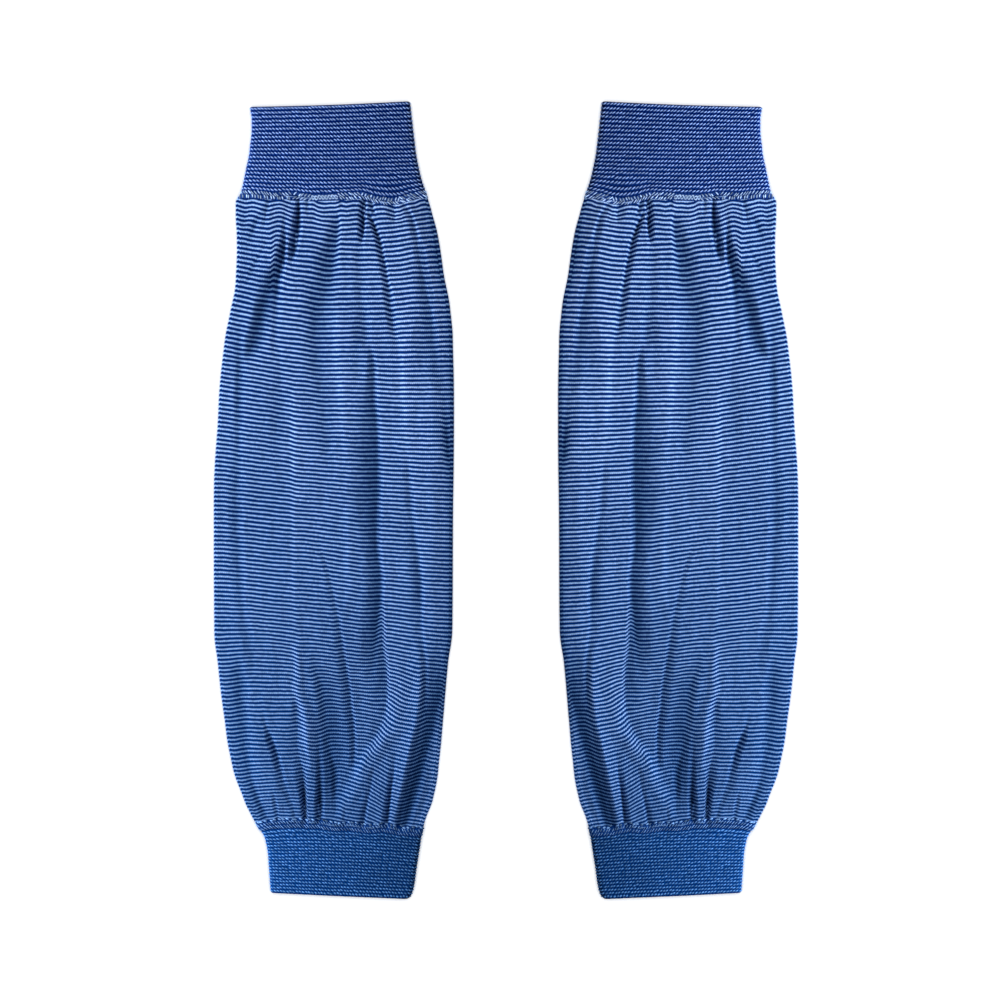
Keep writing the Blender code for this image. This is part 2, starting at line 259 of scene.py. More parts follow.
# Each crease: how crisp, dip, slip, then its rows: down, out, outer width, inner width, depth
TUBE_CREASES = (
    folded(0.4, 0.0, 0.5, (45.4, 18.9, 1.7, 1.6, 0.0), (52.8, 18.4, 1.5, 1.5, 0.61),
        (64.3, 18.6, 3.6, 2.6, 1.1), (76.4, 20.0, 4.4, 2.2, 1.1), (86.4, 22.4, 4.8, 2.3, 0.0)),
    folded(0.3, 0.4, -0.5, (59.1, 25.3, 2.2, 2.2, 0.0), (69.6, 25.7, 2.1, 1.8, 0.36),
        (83.2, 26.4, 5.5, 2.4, 1.1), (97.4, 29.6, 6.6, 3.4, 1.0), (110.5, 30.3, 6.5, 4.4, 0.5),
        (131.5, 31.2, 3.3, 2.6, 0.1), (152.5, 32.0, 2.6, 2.1, 0.0)),
    folded(0.0, 0.0, 0.7, (84.0, 29.0, 3.3, 3.2, 0.0), (99.0, 33.6, 7.9, 5.8, 0.78),
        (114.7, 38.2, 6.8, 6.9, 0.92), (127.3, 41.8, 6.0, 8.4, 0.85), (139.5, 46.2, 3.4, 3.6, 0.0)),
    folded(0.0, 0.8, 0.6, (48.6, -3.7, 2.1, 1.6, 0.0), (54.3, -2.7, 9.8, 1.6, -0.26),
        (65.9, -2.1, 5.6, 2.2, 0.5), (82.7, 0.4, 12.4, 4.2, 0.7), (100.0, 4.6, 13.1, 10.2, 0.62),
        (115.8, 9.0, 8.6, 13.5, 0.6), (132.6, 9.0, 8.6, 10.5, 0.46), (152.0, 6.0, 8.0, 8.0, 0.34),
        (185.0, 4.0, 6.0, 6.0, 0.2), (208.0, 4.0, 4.0, 4.0, 0.0)),
    folded(0.0, -0.1, 0.1, (69.6, -3.2, 2.1, 2.1, 0.0), (84.3, -0.7, 2.1, 2.4, -0.05),
        (105.3, -1.3, 2.4, 2.8, -0.06), (128.9, -3.7, 5.5, 9.6, -0.4), (168.3, -5.6, 3.9, 7.9, -0.28),
        (205.0, -6.3, 1.8, 3.8, -0.06), (241.8, -7.6, 2.6, 7.0, -0.28), (274.3, -5.9, 2.9, 3.4, 0.0)),
    folded(0.5, 0.9, -2.0, (45.4, -15.8, 1.7, 1.6, 0.0), (51.7, -16.2, 2.6, 1.6, 0.91),
        (65.9, -15.8, 3.8, 1.1, 1.1), (76.9, -14.5, 2.9, 1.8, 0.0)),
    folded(0.5, 0.7, -0.2, (46.5, -21.0, 1.6, 1.6, 0.0), (52.8, -20.2, 3.5, 1.3, 0.71),
        (62.2, -22.3, 2.3, 1.7, 0.0)),
    folded(0.4, 1.0, -0.9, (57.0, -17.4, 2.3, 1.7, 0.0), (69.6, -22.1, 2.1, 2.4, 0.9),
        (83.2, -25.9, 3.8, 1.5, 0.7), (94.8, -28.0, 3.6, 1.6, 0.66), (110.5, -29.8, 3.7, 3.7, 0.62),
        (129.9, -33.0, 3.0, 1.9, 0.0)),
    folded(0.3, 0.4, -0.5, (49.1, -33.7, 1.7, 1.6, 0.0), (56.4, -38.2, 2.9, 1.4, 0.28),
        (67.5, -42.3, 3.5, 2.1, 0.5), (81.6, -44.8, 3.8, 2.4, 0.4), (96.3, -47.4, 6.9, 2.4, 0.66),
        (114.7, -51.1, 9.2, 3.7, 0.7), (136.8, -53.6, 13.9, 3.8, 0.45), (157.8, -57.7, 3.6, 2.5, 0.27),
        (178.8, -59.3, 3.3, 2.3, 1.1), (200.8, -60.8, 5.6, 1.6, 0.0)),
    folded(0.0, 0.4, -0.1, (59.6, -51.5, 2.1, 2.1, 0.0), (73.8, -53.6, 3.9, 2.6, 0.6),
        (85.3, -55.1, 4.5, 2.6, 0.74), (100.0, -58.2, 4.8, 2.6, 0.35), (122.1, -61.0, 3.2, 2.1, 0.0)),
    folded(0.2, -0.5, 0.5, (127.8, -18.4, 2.1, 1.6, 0.0), (141.0, -20.9, 4.3, 2.4, 0.61),
        (155.1, -21.0, 6.8, 2.8, 0.74), (173.5, -22.3, 13.7, 3.1, 0.83), (205.0, -22.7, 16.7, 3.8, 0.95),
        (231.3, -22.0, 9.3, 3.6, 0.88), (252.3, -24.2, 9.4, 2.9, 0.89), (273.3, -22.9, 9.8, 3.1, 0.96),
        (289.0, -21.4, 9.9, 3.1, 0.67), (305.8, -19.2, 5.8, 2.7, 0.0)),
    folded(0.1, 0.1, 0.2, (115.8, 50.1, 1.8, 2.1, 0.0), (131.5, 49.7, 3.6, 3.4, 0.55),
        (157.8, 50.4, 2.7, 4.8, 0.7), (178.8, 50.4, 3.8, 3.2, 0.39), (210.3, 51.0, 6.3, 4.7, 0.48),
        (241.8, 50.3, 6.3, 4.6, 0.49), (269.1, 47.8, 4.3, 2.9, 0.33), (289.0, 44.1, 5.7, 4.5, 0.29),
        (305.8, 42.9, 3.5, 2.7, 0.0)),
    folded(0.0, -0.3, 0.9, (288.0, 51.0, 2.7, 2.9, 0.0), (310.0, 49.7, 6.7, 6.3, 0.61),
        (331.0, 47.9, 6.4, 5.5, 0.49), (351.0, 44.8, 5.2, 3.4, 0.49), (372.0, 37.9, 3.7, 2.6, 0.75),
        (382.5, 34.0, 2.5, 2.5, 0.26)),
    folded(0.1, 0.4, -0.1, (130.5, 20.9, 1.6, 1.6, 0.0), (142.0, 20.5, 3.9, 2.9, -0.13),
        (189.3, 20.0, 3.5, 13.4, -0.33), (241.8, 20.6, 2.4, 3.1, -0.15), (283.8, 18.0, 2.9, 3.5, -0.17),
        (316.3, 15.7, 2.1, 2.4, 0.0)),
    folded(0.5, -0.8, 0.6, (230.2, 8.4, 2.1, 1.6, 0.0), (241.8, 4.9, 2.4, 1.7, 0.23),
        (264.3, -0.6, 2.9, 2.0, 0.31), (289.0, -4.9, 4.5, 1.7, 0.49), (316.8, -9.0, 5.0, 1.3, 0.6),
        (338.9, -10.7, 3.3, 1.8, 0.47), (353.1, -10.2, 2.5, 2.3, 0.0)),
    folded(0.0, -0.8, 3.2, (277.5, 14.3, 4.0, 4.2, 0.0), (296.9, 10.1, 4.4, 9.8, 0.21),
        (312.6, 5.2, 5.0, 10.9, 0.5), (333.6, 3.0, 7.2, 18.0, 0.62), (354.6, 0.3, 9.0, 9.0, 0.55),
        (367.8, -0.1, 9.0, 5.0, 0.26), (376.7, -1.5, 4.2, 4.1, 0.0)),
    folded(0.5, -0.6, 1.4, (321.6, 9.3, 2.0, 2.1, 0.0), (336.3, 7.7, 2.9, 2.3, 0.22),
        (357.3, 7.3, 2.6, 2.8, 0.74), (374.1, 7.1, 3.6, 2.5, 1.05), (384.6, 9.3, 2.4, 1.8, 0.83)),
    folded(0.3, -0.1, 1.2, (332.1, 3.3, 2.1, 2.1, 0.0), (344.1, 1.2, 2.5, 2.7, 0.35),
        (357.3, -0.7, 2.4, 2.9, 0.73), (368.8, -0.6, 2.6, 2.6, 0.0)),
    folded(0.5, -1.9, -0.5, (309.0, 20.7, 1.9, 2.2, 0.0), (323.1, 19.3, 3.6, 2.5, 0.31),
        (338.9, 18.9, 5.9, 2.6, 0.23), (354.6, 15.9, 5.3, 2.1, 0.55), (367.8, 15.2, 3.1, 1.6, 1.01),
        (384.6, 14.5, 2.2, 1.8, 0.94)),
    folded(0.4, -0.6, 1.2, (314.2, 38.7, 2.1, 2.1, 0.0), (328.4, 35.3, 2.5, 1.8, 0.25),
        (338.9, 31.4, 4.0, 2.0, 0.72), (347.8, 28.8, 3.8, 2.0, 0.58), (359.9, 25.7, 4.6, 2.4, 0.25),
        (373.0, 21.2, 2.5, 2.0, 0.2), (384.6, 19.0, 2.0, 2.2, 0.28)),
    folded(0.7, -0.5, -0.5, (342.6, -21.7, 2.1, 1.6, 0.0), (356.2, -20.1, 2.6, 1.6, 0.14),
        (369.3, -17.2, 3.0, 1.6, 0.42), (384.6, -14.8, 4.2, 1.6, 0.8)),
    folded(0.8, -0.1, 2.3, (332.1, -32.7, 2.6, 2.2, 0.0), (345.2, -32.2, 4.0, 1.8, 0.08),
        (362.5, -29.9, 3.2, 1.3, 0.76), (384.6, -27.5, 5.2, 1.9, 1.04)),
    folded(0.0, -1.0, 1.1, (282.7, -54.8, 4.6, 2.1, 0.0), (304.8, -55.2, 11.5, 2.9, 0.65),
        (323.1, -52.4, 10.0, 3.8, 1.05), (338.9, -48.2, 8.6, 5.0, 1.1), (354.6, -43.8, 7.8, 6.0, 1.1),
        (369.3, -39.6, 7.0, 5.2, 1.05), (384.6, -35.5, 5.9, 3.0, 0.85)),
    folded(0.5, 0.0, 0.0, (288.0, -46.0, 4.0, 2.5, 0.0), (304.0, -45.9, 6.0, 2.5, -0.14),
        (320.0, -44.5, 7.0, 2.5, -0.22), (335.0, -41.3, 7.0, 2.5, -0.26), (350.0, -38.1, 7.0, 2.5, -0.26),
        (363.0, -35.2, 6.0, 2.5, -0.2), (377.0, -32.0, 4.0, 2.0, 0.0)),
    folded(0.2, 0.0, 0.0, (300.0, -47.8, 3.0, 3.0, 0.0), (312.0, -47.4, 3.3, 3.6, 0.22),
        (325.0, -46.2, 3.4, 4.0, 0.36), (338.0, -43.1, 3.4, 4.0, 0.44), (348.0, -41.0, 3.4, 4.0, 0.45),
        (361.0, -38.2, 3.3, 4.0, 0.45), (373.0, -35.3, 3.0, 3.5, 0.4), (384.6, -33.0, 2.5, 3.0, 0.3)),
    folded(0.2, 0.0, 0.0, (300.0, -27.5, 3.0, 6.0, 0.0), (315.0, -28.0, 4.0, 8.0, 0.1),
        (326.0, -26.0, 6.0, 8.0, 0.16), (337.0, -18.5, 6.0, 8.0, 0.18), (347.0, -12.0, 6.0, 8.0, 0.18),
        (357.0, -7.0, 5.0, 6.0, 0.18), (368.0, -3.0, 4.0, 5.0, 0.15), (377.0, -0.8, 3.0, 4.0, 0.0)),
    folded(0.0, 0.0, 0.0, (298.0, -34.0, 6.0, 6.0, 0.0), (314.0, -35.0, 9.0, 6.0, -0.16),
        (326.0, -34.0, 10.0, 6.0, -0.26), (337.0, -26.5, 10.0, 6.0, -0.3), (347.0, -20.0, 10.0, 5.0, -0.3),
        (357.0, -14.5, 9.0, 5.0, -0.3), (368.0, -9.0, 7.0, 4.0, -0.22), (380.0, -6.0, 5.0, 3.0, 0.0)),
    folded(0.3, -0.2, -0.1, (172.5, -36.1, 2.0, 1.7, 0.0), (194.5, -38.9, 2.9, 2.0, 0.21),
        (210.3, -40.0, 3.9, 3.0, 0.39), (233.9, -42.7, 5.2, 3.0, 0.42), (257.5, -45.3, 5.3, 2.9, 0.71),
        (278.5, -45.8, 4.5, 1.9, 0.32), (296.9, -47.9, 3.2, 2.4, 0.49), (310.0, -48.1, 3.0, 1.9, 0.44),
        (324.2, -47.0, 2.7, 2.1, 0.0)),
    folded(0.0, -2.1, 0.5, (262.8, -25.1, 2.0, 1.8, 0.0), (283.8, -25.3, 5.2, 2.4, 0.68),
        (304.8, -27.5, 12.2, 2.1, 0.53), (324.2, -27.4, 3.1, 1.6, 0.0)),
    folded(0.4, -0.2, 0.4, (45.4, 44.6, 1.6, 1.3, 0.0), (52.8, 44.5, 2.1, 1.3, 0.14),
        (59.1, 44.6, 2.1, 1.6, -0.09), (74.8, 45.8, 2.1, 1.6, 0.0)),
    folded(0.4, 0.2, 0.0, (45.4, 35.2, 1.6, 1.6, 0.0), (52.8, 33.8, 2.3, 1.7, 0.22),
        (60.1, 35.2, 3.8, 1.9, 0.35), (68.5, 36.7, 2.3, 1.6, 0.0)),
    folded(0.4, -0.1, -0.3, (45.4, 14.2, 1.7, 1.6, 0.0), (51.7, 13.5, 1.9, 1.6, 0.33),
        (62.2, 13.3, 2.1, 1.6, 0.0)),
    folded(0.2, 1.1, -0.9, (46.5, -32.0, 1.6, 1.6, 0.0), (55.4, -31.7, 5.6, 1.9, 0.34),
        (65.4, -32.2, 2.2, 1.8, 0.0)),
    folded(0.3, -0.2, 0.9, (46.5, -43.9, 1.6, 1.6, 0.0), (52.8, -44.5, 2.7, 1.8, -0.4),
        (61.7, -45.8, 2.1, 1.7, 0.0)),
    folded(0.4, 0.0, -0.1, (372.0, -5.8, 2.1, 1.6, 0.0), (379.3, -5.8, 2.0, 1.5, 0.21),
        (384.6, -6.2, 2.1, 1.6, 0.51)),
    folded(0.4, -0.1, 0.1, (366.7, -36.3, 2.0, 1.6, 0.0), (375.6, -35.2, 2.4, 1.7, 0.48),
        (384.6, -33.7, 2.8, 1.6, 0.65)),
    folded(0.4, -0.6, 0.3, (361.5, 31.9, 1.7, 1.6, 0.0), (373.0, 30.0, 2.4, 1.6, 0.35),
        (384.6, 28.2, 2.1, 1.6, 0.41)),
    folded(0.0, 0.5, -0.7, (283.8, 21.2, 2.0, 2.1, 0.0), (296.9, 18.9, 2.5, 3.2, -0.35),
        (310.0, 18.5, 4.8, 4.0, -0.42), (321.6, 14.8, 3.7, 5.2, -0.45), (336.3, 13.7, 3.4, 4.5, -0.4),
        (357.3, 12.2, 2.2, 2.3, -0.04), (368.8, 12.6, 2.0, 2.0, 0.0)),
    folded(0.0, -0.5, -1.0, (335.2, -19.2, 3.2, 3.1, 0.0), (347.8, -15.2, 3.9, 4.3, -0.2),
        (359.9, -9.0, 3.5, 3.7, -0.01), (370.4, -4.0, 3.3, 3.1, -0.14), (379.3, -3.7, 2.5, 2.7, 0.0)),
    folded(0.0, -0.1, -2.7, (288.0, -37.2, 3.2, 3.1, 0.0), (302.1, -33.4, 4.5, 4.6, -0.02),
        (317.9, -30.7, 4.1, 7.3, -0.15), (333.6, -24.4, 3.2, 6.4, -0.16), (347.8, -16.9, 3.4, 3.3, 0.0)),
    folded(0.1, 0.2, -0.5, (72.7, -14.2, 3.4, 3.8, 0.0), (89.5, -14.2, 5.6, 5.3, 0.25),
        (105.3, -14.3, 5.5, 4.6, 0.24), (121.0, -16.6, 7.8, 3.7, 0.4), (132.6, -15.9, 3.2, 2.7, 0.0)),
    folded(0.0, 0.0, -0.3, (120.0, 31.4, 2.7, 2.6, 0.0), (147.3, 28.3, 4.4, 3.7, 0.21),
        (168.3, 29.3, 5.3, 5.5, 0.28), (190.3, 32.8, 2.8, 2.7, 0.0)),
    folded(0.1, 0.2, -0.5, (59.1, 37.3, 1.7, 1.7, 0.0), (67.5, 41.0, 4.0, 1.8, 0.58),
        (76.9, 44.8, 2.1, 1.6, 0.17), (85.3, 47.7, 1.6, 1.6, 0.0)),
    folded(0.2, 0.3, -0.2, (69.6, 32.7, 1.6, 1.6, 0.0), (79.0, 36.6, 2.2, 1.7, 0.19),
        (89.5, 42.5, 2.4, 1.6, 0.38), (100.0, 46.4, 1.6, 1.6, 0.0)),
    folded(0.2, 0.1, 0.3, (55.9, 43.1, 1.6, 1.6, 0.0), (64.3, 46.5, 2.1, 1.6, 0.09),
        (72.7, 48.3, 1.6, 1.6, 0.0)),
    folded(0.1, 0.2, -0.3, (73.8, -45.7, 2.4, 2.0, 0.0), (85.3, -47.5, 2.7, 2.4, 0.38),
        (100.0, -50.7, 3.2, 2.3, 0.36), (116.8, -55.3, 2.1, 2.2, 0.0)),
    folded(0.0, 0.0, 0.0, (105.0, -36.0, 3.0, 4.0, 0.0), (125.0, -37.0, 4.0, 7.0, -0.25),
        (155.0, -38.0, 4.0, 8.0, -0.32), (180.0, -38.5, 4.0, 7.0, -0.18), (198.0, -39.0, 3.0, 4.0, 0.0)),
    folded(0.0, -2.0, 0.0, (46.0, 26.5, 6.0, 5.0, 0.0), (54.0, 28.0, 6.0, 6.0, 0.011),
        (65.0, 28.5, 6.5, 10.0, 0.02), (77.0, 30.0, 3.0, 13.0, 0.02), (88.0, 31.0, 2.5, 13.0, 0.02),
        (97.0, 31.5, 2.5, 12.0, 0.012), (108.0, 32.0, 2.5, 10.0, 0.0)),
    folded(0.0, 1.8, 0.4, (292.0, -44.5, 8.0, 3.0, 0.0), (318.0, -43.8, 15.0, 5.0, 0.02),
        (340.0, -40.8, 18.0, 8.0, 0.02), (360.0, -37.0, 18.0, 10.0, 0.02), (384.6, -32.0, 15.0, 9.0, 0.02)),
    folded(0.0, 0.0, 0.0, (56.0, 40.0, 8.0, 8.0, 0.0), (72.0, 41.0, 11.0, 12.0, 0.16),
        (92.0, 42.0, 12.0, 13.0, 0.18), (114.0, 44.0, 10.0, 10.0, 0.0)),
    folded(0.0, 0.0, 0.0, (262.0, -8.0, 14.0, 14.0, 0.0), (282.0, -8.0, 18.0, 16.0, 0.15),
        (304.0, -8.0, 18.0, 16.0, 0.17), (325.0, -6.0, 14.0, 12.0, 0.0)),
)

# Small rumples, each two waves that cross. A wave: its lengths out and down, and its start in turns
RUMPLES = (
    (1.0, (13.0, 95.0, 0.2), (-70.0, 47.0, 0.0)),
    (0.7, (7.3, -61.0, 0.4), (90.0, 29.0, 0.0)),
)

COURSE_OUT = 60.0  # the distance out at the first of the next table's places
COURSE_STEP = 15.0  # from there inwards, from place to place
# Columns: down, then how far further down a course lies than on the axis, at each of those places
COURSES = SmoothTable((
    (52.0, -6.6, -4.5, -2.6, -1.1, 0.0, 0.6, 0.9, -0.5, -2.9),
    (76.0, -7.6, -5.0, -2.8, -1.5, 0.0, 0.4, 0.9, -0.9, -2.3),
    (97.0, -8.3, -5.7, -2.9, -1.5, 0.0, -0.1, 0.1, -0.8, -1.5),
    (118.0, -8.4, -5.9, -3.1, -1.3, 0.0, -0.2, 0.0, -0.5, -1.0),
    (150.0, -8.1, -5.8, -3.3, -1.3, 0.0, 0.1, 0.7, 0.7, 0.6),
    (185.0, -8.0, -5.6, -3.7, -1.4, 0.0, 0.9, 1.3, 2.0, 2.5),
    (215.0, -6.8, -5.1, -3.4, -1.7, 0.0, 1.7, 2.1, 3.0, 3.9),
    (240.0, -5.9, -4.5, -2.9, -1.8, 0.0, 1.9, 2.7, 3.7, 4.7),
    (265.0, -5.1, -4.3, -2.7, -1.3, 0.0, 1.7, 2.4, 4.0, 5.2),
    (290.0, -3.2, -3.9, -3.3, -1.3, 0.0, 1.2, 2.5, 5.0, 6.9),
    (312.0, -0.9, -1.8, -1.9, -0.9, 0.0, 0.6, 3.6, 6.2, 8.1),
    (335.0, 1.2, 0.1, -0.3, -0.3, 0.0, 0.3, 5.9, 7.5, 8.5),
    (352.0, 2.8, 1.6, 0.1, -0.4, 0.0, 1.2, 6.4, 7.5, 8.9),
    (376.0, 5.1, 1.9, -0.8, -1.0, 0.0, 2.7, 5.6, 7.6, 9.5),
))

# Columns: down on the axis, stripes passed since the upper seam
STRIPES = SmoothTable((
    (40.0, -4.7), (57.0, 2.8), (95.0, 17.9), (124.0, 29.2), (158.0, 43.5), (192.0, 58.2), (213.0, 67.7),
    (250.0, 84.6), (283.0, 100.0), (292.0, 104.4), (308.0, 112.6), (334.0, 125.7), (360.0, 138.8),
    (386.0, 152.8),
))


@dataclass(frozen=True)
class Points:
    """Where points of a flattened tube's form lie, in millimetres."""

    out: np.ndarray
    below: np.ndarray
    up: np.ndarray

    def placed(self, side: Side) -> np.ndarray:
        """Return the points in metres, in the frame, with one more axis of length three."""
        across = side.value * (AXIS_TO_MIDDLE + self.out)
        return np.stack((across, TOP_TO_MIDDLE - self.below, np.maximum(self.up, 0.0)), axis=-1) * MM

    def mixed(self, other: "Points", share: np.ndarray) -> "Points":
        """Return the points a share of the way to another set."""
        return Points(
            self.out + (other.out - self.out) * share,
            self.below + (other.below - self.below) * share,
            self.up + (other.up - self.up) * share,
        )


@dataclass(frozen=True)
class Seam:
    """Where a cuff is sewn to its tube, along a line that the gathers pull out of true."""

    down: float
    wave: SmoothTable

    def fall(self, out: np.ndarray, down: np.ndarray, reach: float) -> np.ndarray:
        """Return how far the seam pulls the cloth down, at points up to a reach away from it."""
        return self.wave.at(out)[0] * ease(1.0 - np.abs(down - self.down) / reach)

    def lift(self, down: np.ndarray) -> np.ndarray:
        """Return how far the band's thickness holds the cloth off the surface."""
        return THREAD_LIFT * ease(1.0 - (np.abs(down - self.down) - BAND_HOLD) / BAND_FADE)


@dataclass(frozen=True)
class FlatForm:
    """The outer form of a tube pressed flat: an upper layer, a lower layer and two side folds.

    A place round the tube is a number from 0 to 4: the upper layer from the inner to the outer side,
    the outer fold, the lower layer back to the inner side, and the inner fold.
    """

    table: SmoothTable
    wall: float
    seams: tuple[Seam, ...]
    seam_reach: float  # how far from a seam the cloth still follows its line
    creases: tuple[Crease, ...] = ()
    puff: float = 0.0
    lift: float = 0.0

    def hollow(self, out: np.ndarray, down: np.ndarray) -> np.ndarray:
        """Return how deep in a crease each point of the upper layer lies, from 0 to 1."""
        kept = np.ones(np.broadcast(out, down).shape)
        for crease in self.creases:
            kept = kept * (1.0 - crease.taken(out, down))
        return 1.0 - kept

    def rumple(self, out: np.ndarray, down: np.ndarray) -> np.ndarray:
        """Return how far small rumples lift each point of the upper layer, as a share of RUMPLE."""
        total = 0.0 * (out + down)
        for rumple, *waves in RUMPLES:
            for long, deep, start in waves:
                rumple = rumple * np.sin(2.0 * pi * (out / long + down / deep + start))
            total = total + rumple
        return total

    def crease_fall(self, out: np.ndarray, down: np.ndarray) -> np.ndarray:
        """Return how far the creases carry the stripes down at each point of the upper layer."""
        still = np.zeros(np.broadcast(out, down).shape)
        return sum((crease.fall(out, down) for crease in self.creases), still)

    def place(self, around: np.ndarray, down: np.ndarray, inset: np.ndarray) -> Points:
        """Find points of the form.

        Args:
            around: Places round the tube, from 0 to 4.
            down: Distances down the sleeve's axis.
            inset: How far inside the outer face the points lie; below zero is outside it.

        Returns:
            The points.
        """
        outer, inner, tilt, sag, edge, crown = self.table.at(down)
        fold = self.wall + (LAYER_GAP + edge) / 2.0
        bend = fold - inset
        inner_end, outer_end = fold - inner, outer - fold
        leg, run = np.floor(around) % 4, around % 1.0
        on_top, outer_fold, beneath = leg == 0, leg == 1, leg == 2
        reached = np.select([on_top, outer_fold, beneath], [run, 1.0, 1.0 - run], 0.0)
        flat = inner_end + (outer_end - inner_end) * reached
        turn = pi * run
        sideways = np.select([outer_fold, leg == 3], [np.sin(turn), -np.sin(turn)], 0.0)
        upward = np.select([on_top, outer_fold, beneath], [1.0, np.cos(turn), -1.0], -np.cos(turn))
        shoulder = ease((flat - inner_end) / SHOULDER) * ease((outer_end - flat) / OUTER_SHOULDER)
        standing = crown - edge + self.puff * ease((crown - edge) / PUFF_FADE)
        rise = shoulder * standing * (1.0 - self.hollow(flat, down))
        if self.creases:
            rise = rise + shoulder * ease(standing / RUMPLE_FADE) * RUMPLE * self.rumple(flat, down)
        creased = self.hollow(UNDER_TURN * flat, down + UNDER_SHIFT)
        tucked = CREASE_LIFT * shoulder * np.clip(creased, 0.0, 1.0)
        up = fold + bend * upward + self.lift + np.where(on_top, rise, 0.0) + np.where(beneath, tucked, 0.0)
        out = flat + bend * sideways
        share = out / np.where(out > 0.0, outer, inner)
        below = down + tilt * share / 2.0 - sag * share * share
        for seam in self.seams:
            below = below + seam.fall(out, down, self.seam_reach)
            up = up + np.maximum(seam.lift(down) - self.lift, 0.0)
        return Points(out, below, up)

    def legs(self, down: np.ndarray) -> tuple[np.ndarray, np.ndarray, tuple[np.ndarray, ...]]:
        """Return the lengths of a flat layer and of a side fold, and how far round each leg starts."""
        outer, inner, _, _, edge, _ = self.table.at(down)
        fold = self.wall + (LAYER_GAP + edge) / 2.0
        flat, arc = outer + inner - 2.0 * fold, pi * fold
        return flat, arc, (0.0 * flat, flat, flat + arc, 2.0 * flat + arc)

    def round_place(self, part: np.ndarray, down: np.ndarray) -> np.ndarray:
        """Return the place round the tube, from 0 to 4, of each share of the way round it."""
        flat, arc, starts = self.legs(down)
        way = (part % 1.0) * 2.0 * (flat + arc)
        places = [leg + (way - start) / (arc if leg % 2 else flat) for leg, start in enumerate(starts)]
        return np.select([way < starts[1], way < starts[2], way < starts[3]], places[:3], places[3])

    def round_part(self, around: np.ndarray, down: np.ndarray) -> np.ndarray:
        """Return the share of the way round the tube of each place round it, from 0 to 4."""
        flat, arc, starts = self.legs(down)
        leg = np.minimum(np.floor(around), 3)
        start = np.select([leg == 0, leg == 1, leg == 2], starts[:3], starts[3])
        return (start + (around - leg) * np.where(leg % 2 == 1, arc, flat)) / (2.0 * (flat + arc))

    def wrap(self, part: np.ndarray, down: np.ndarray, height: np.ndarray) -> Points:
        """Return the points at a share of the way round, a distance down and a height over the face."""
        return self.place(self.round_place(part, down), down, -height)


@dataclass(frozen=True)
class BandForm:
    """The face of a sewn band, which crosses smoothly from a cuff to its tube and stands over both."""

    cuff: FlatForm
    tube: FlatForm
    seam: Seam
    tube_way: float  # 1 where the tube lies down from the seam, -1 where it lies up from it
    reach: float  # from the seam line to either edge

    def wrap(self, part: np.ndarray, down: np.ndarray, height: np.ndarray) -> Points:
        """Return the points at a share of the way round, a distance down and a height over the face."""
        off = (down - self.seam.down) / self.reach
        raised = height + BAND_RISE * np.maximum(1.0 - off * off, 0.0) - BAND_SINK
        share = ease(0.5 + BAND_BLEND * self.tube_way * off)
        return self.cuff.wrap(part, down, raised).mixed(self.tube.wrap(part, down, raised), share)


@dataclass(frozen=True)
class Ring:
    """The section of a wall along the sleeve: down its outer face, round its end and back inside."""

    first: float
    last: float
    wall: float
    outer_rows: int
    inner_rows: int
    lips: tuple[bool, bool]  # whether its upper and its lower end is a rounded lip
    lip_rows: int = 5

    def rows(self) -> tuple[np.ndarray, np.ndarray]:
        """Return the distances down and the insets of the section's rows, whose last repeats the first."""
        turn = np.linspace(0.0, pi, self.lip_rows + 2)[1:-1]
        bulge = np.sin(turn) * self.wall / 2.0
        turned = self.wall * (1.0 - np.cos(turn)) / 2.0
        outward = np.linspace(self.first, self.last, self.outer_rows)
        back = np.linspace(self.last, self.first, self.inner_rows)
        ends = self.last + bulge * self.lips[1], self.first - bulge * self.lips[0]
        downs = np.concatenate((outward, ends[0], back, ends[1], [self.first]))
        insets = np.concatenate((0.0 * outward, turned, 0.0 * back + self.wall, turned[::-1], [0.0]))
        return downs[:, None], insets[:, None]


def places_round(counts: tuple[int, int, int, int]) -> np.ndarray:
    """Return evenly set places on the four legs round a tube, from 0 to 4, as one row."""
    legs = [leg + np.arange(count) / count for leg, count in enumerate(counts)]
    return np.concatenate(legs + [[4.0]])[None, :]


def finish_piece(
    piece: bpy.types.Object, side: Side, slot: str, finish: bpy.types.Material
) -> bpy.types.Object:
    """Put a finished piece in its sleeve's group, on the frame's one body, with its finish.

    Args:
        piece: The piece, with its place in its mesh.
        side: The sleeve that it belongs to.
        slot: Not used.
        finish: Its material here.

    Returns:
        The piece.
    """
    piece.data.materials.append(finish)
    sleeve_group(side).objects.link(piece)
    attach(piece, "root")
    log.info("%s: %d faces", piece.name, len(piece.data.polygons))
    return piece


def sleeve_group(side: Side) -> bpy.types.Collection:
    """Return the collection that holds one sleeve's pieces, made when it is first asked for."""
    name = f"{side.word}_sleeve"
    if name not in bpy.data.collections:
        bpy.context.scene.collection.children.link(bpy.data.collections.new(name))
    return bpy.data.collections[name]


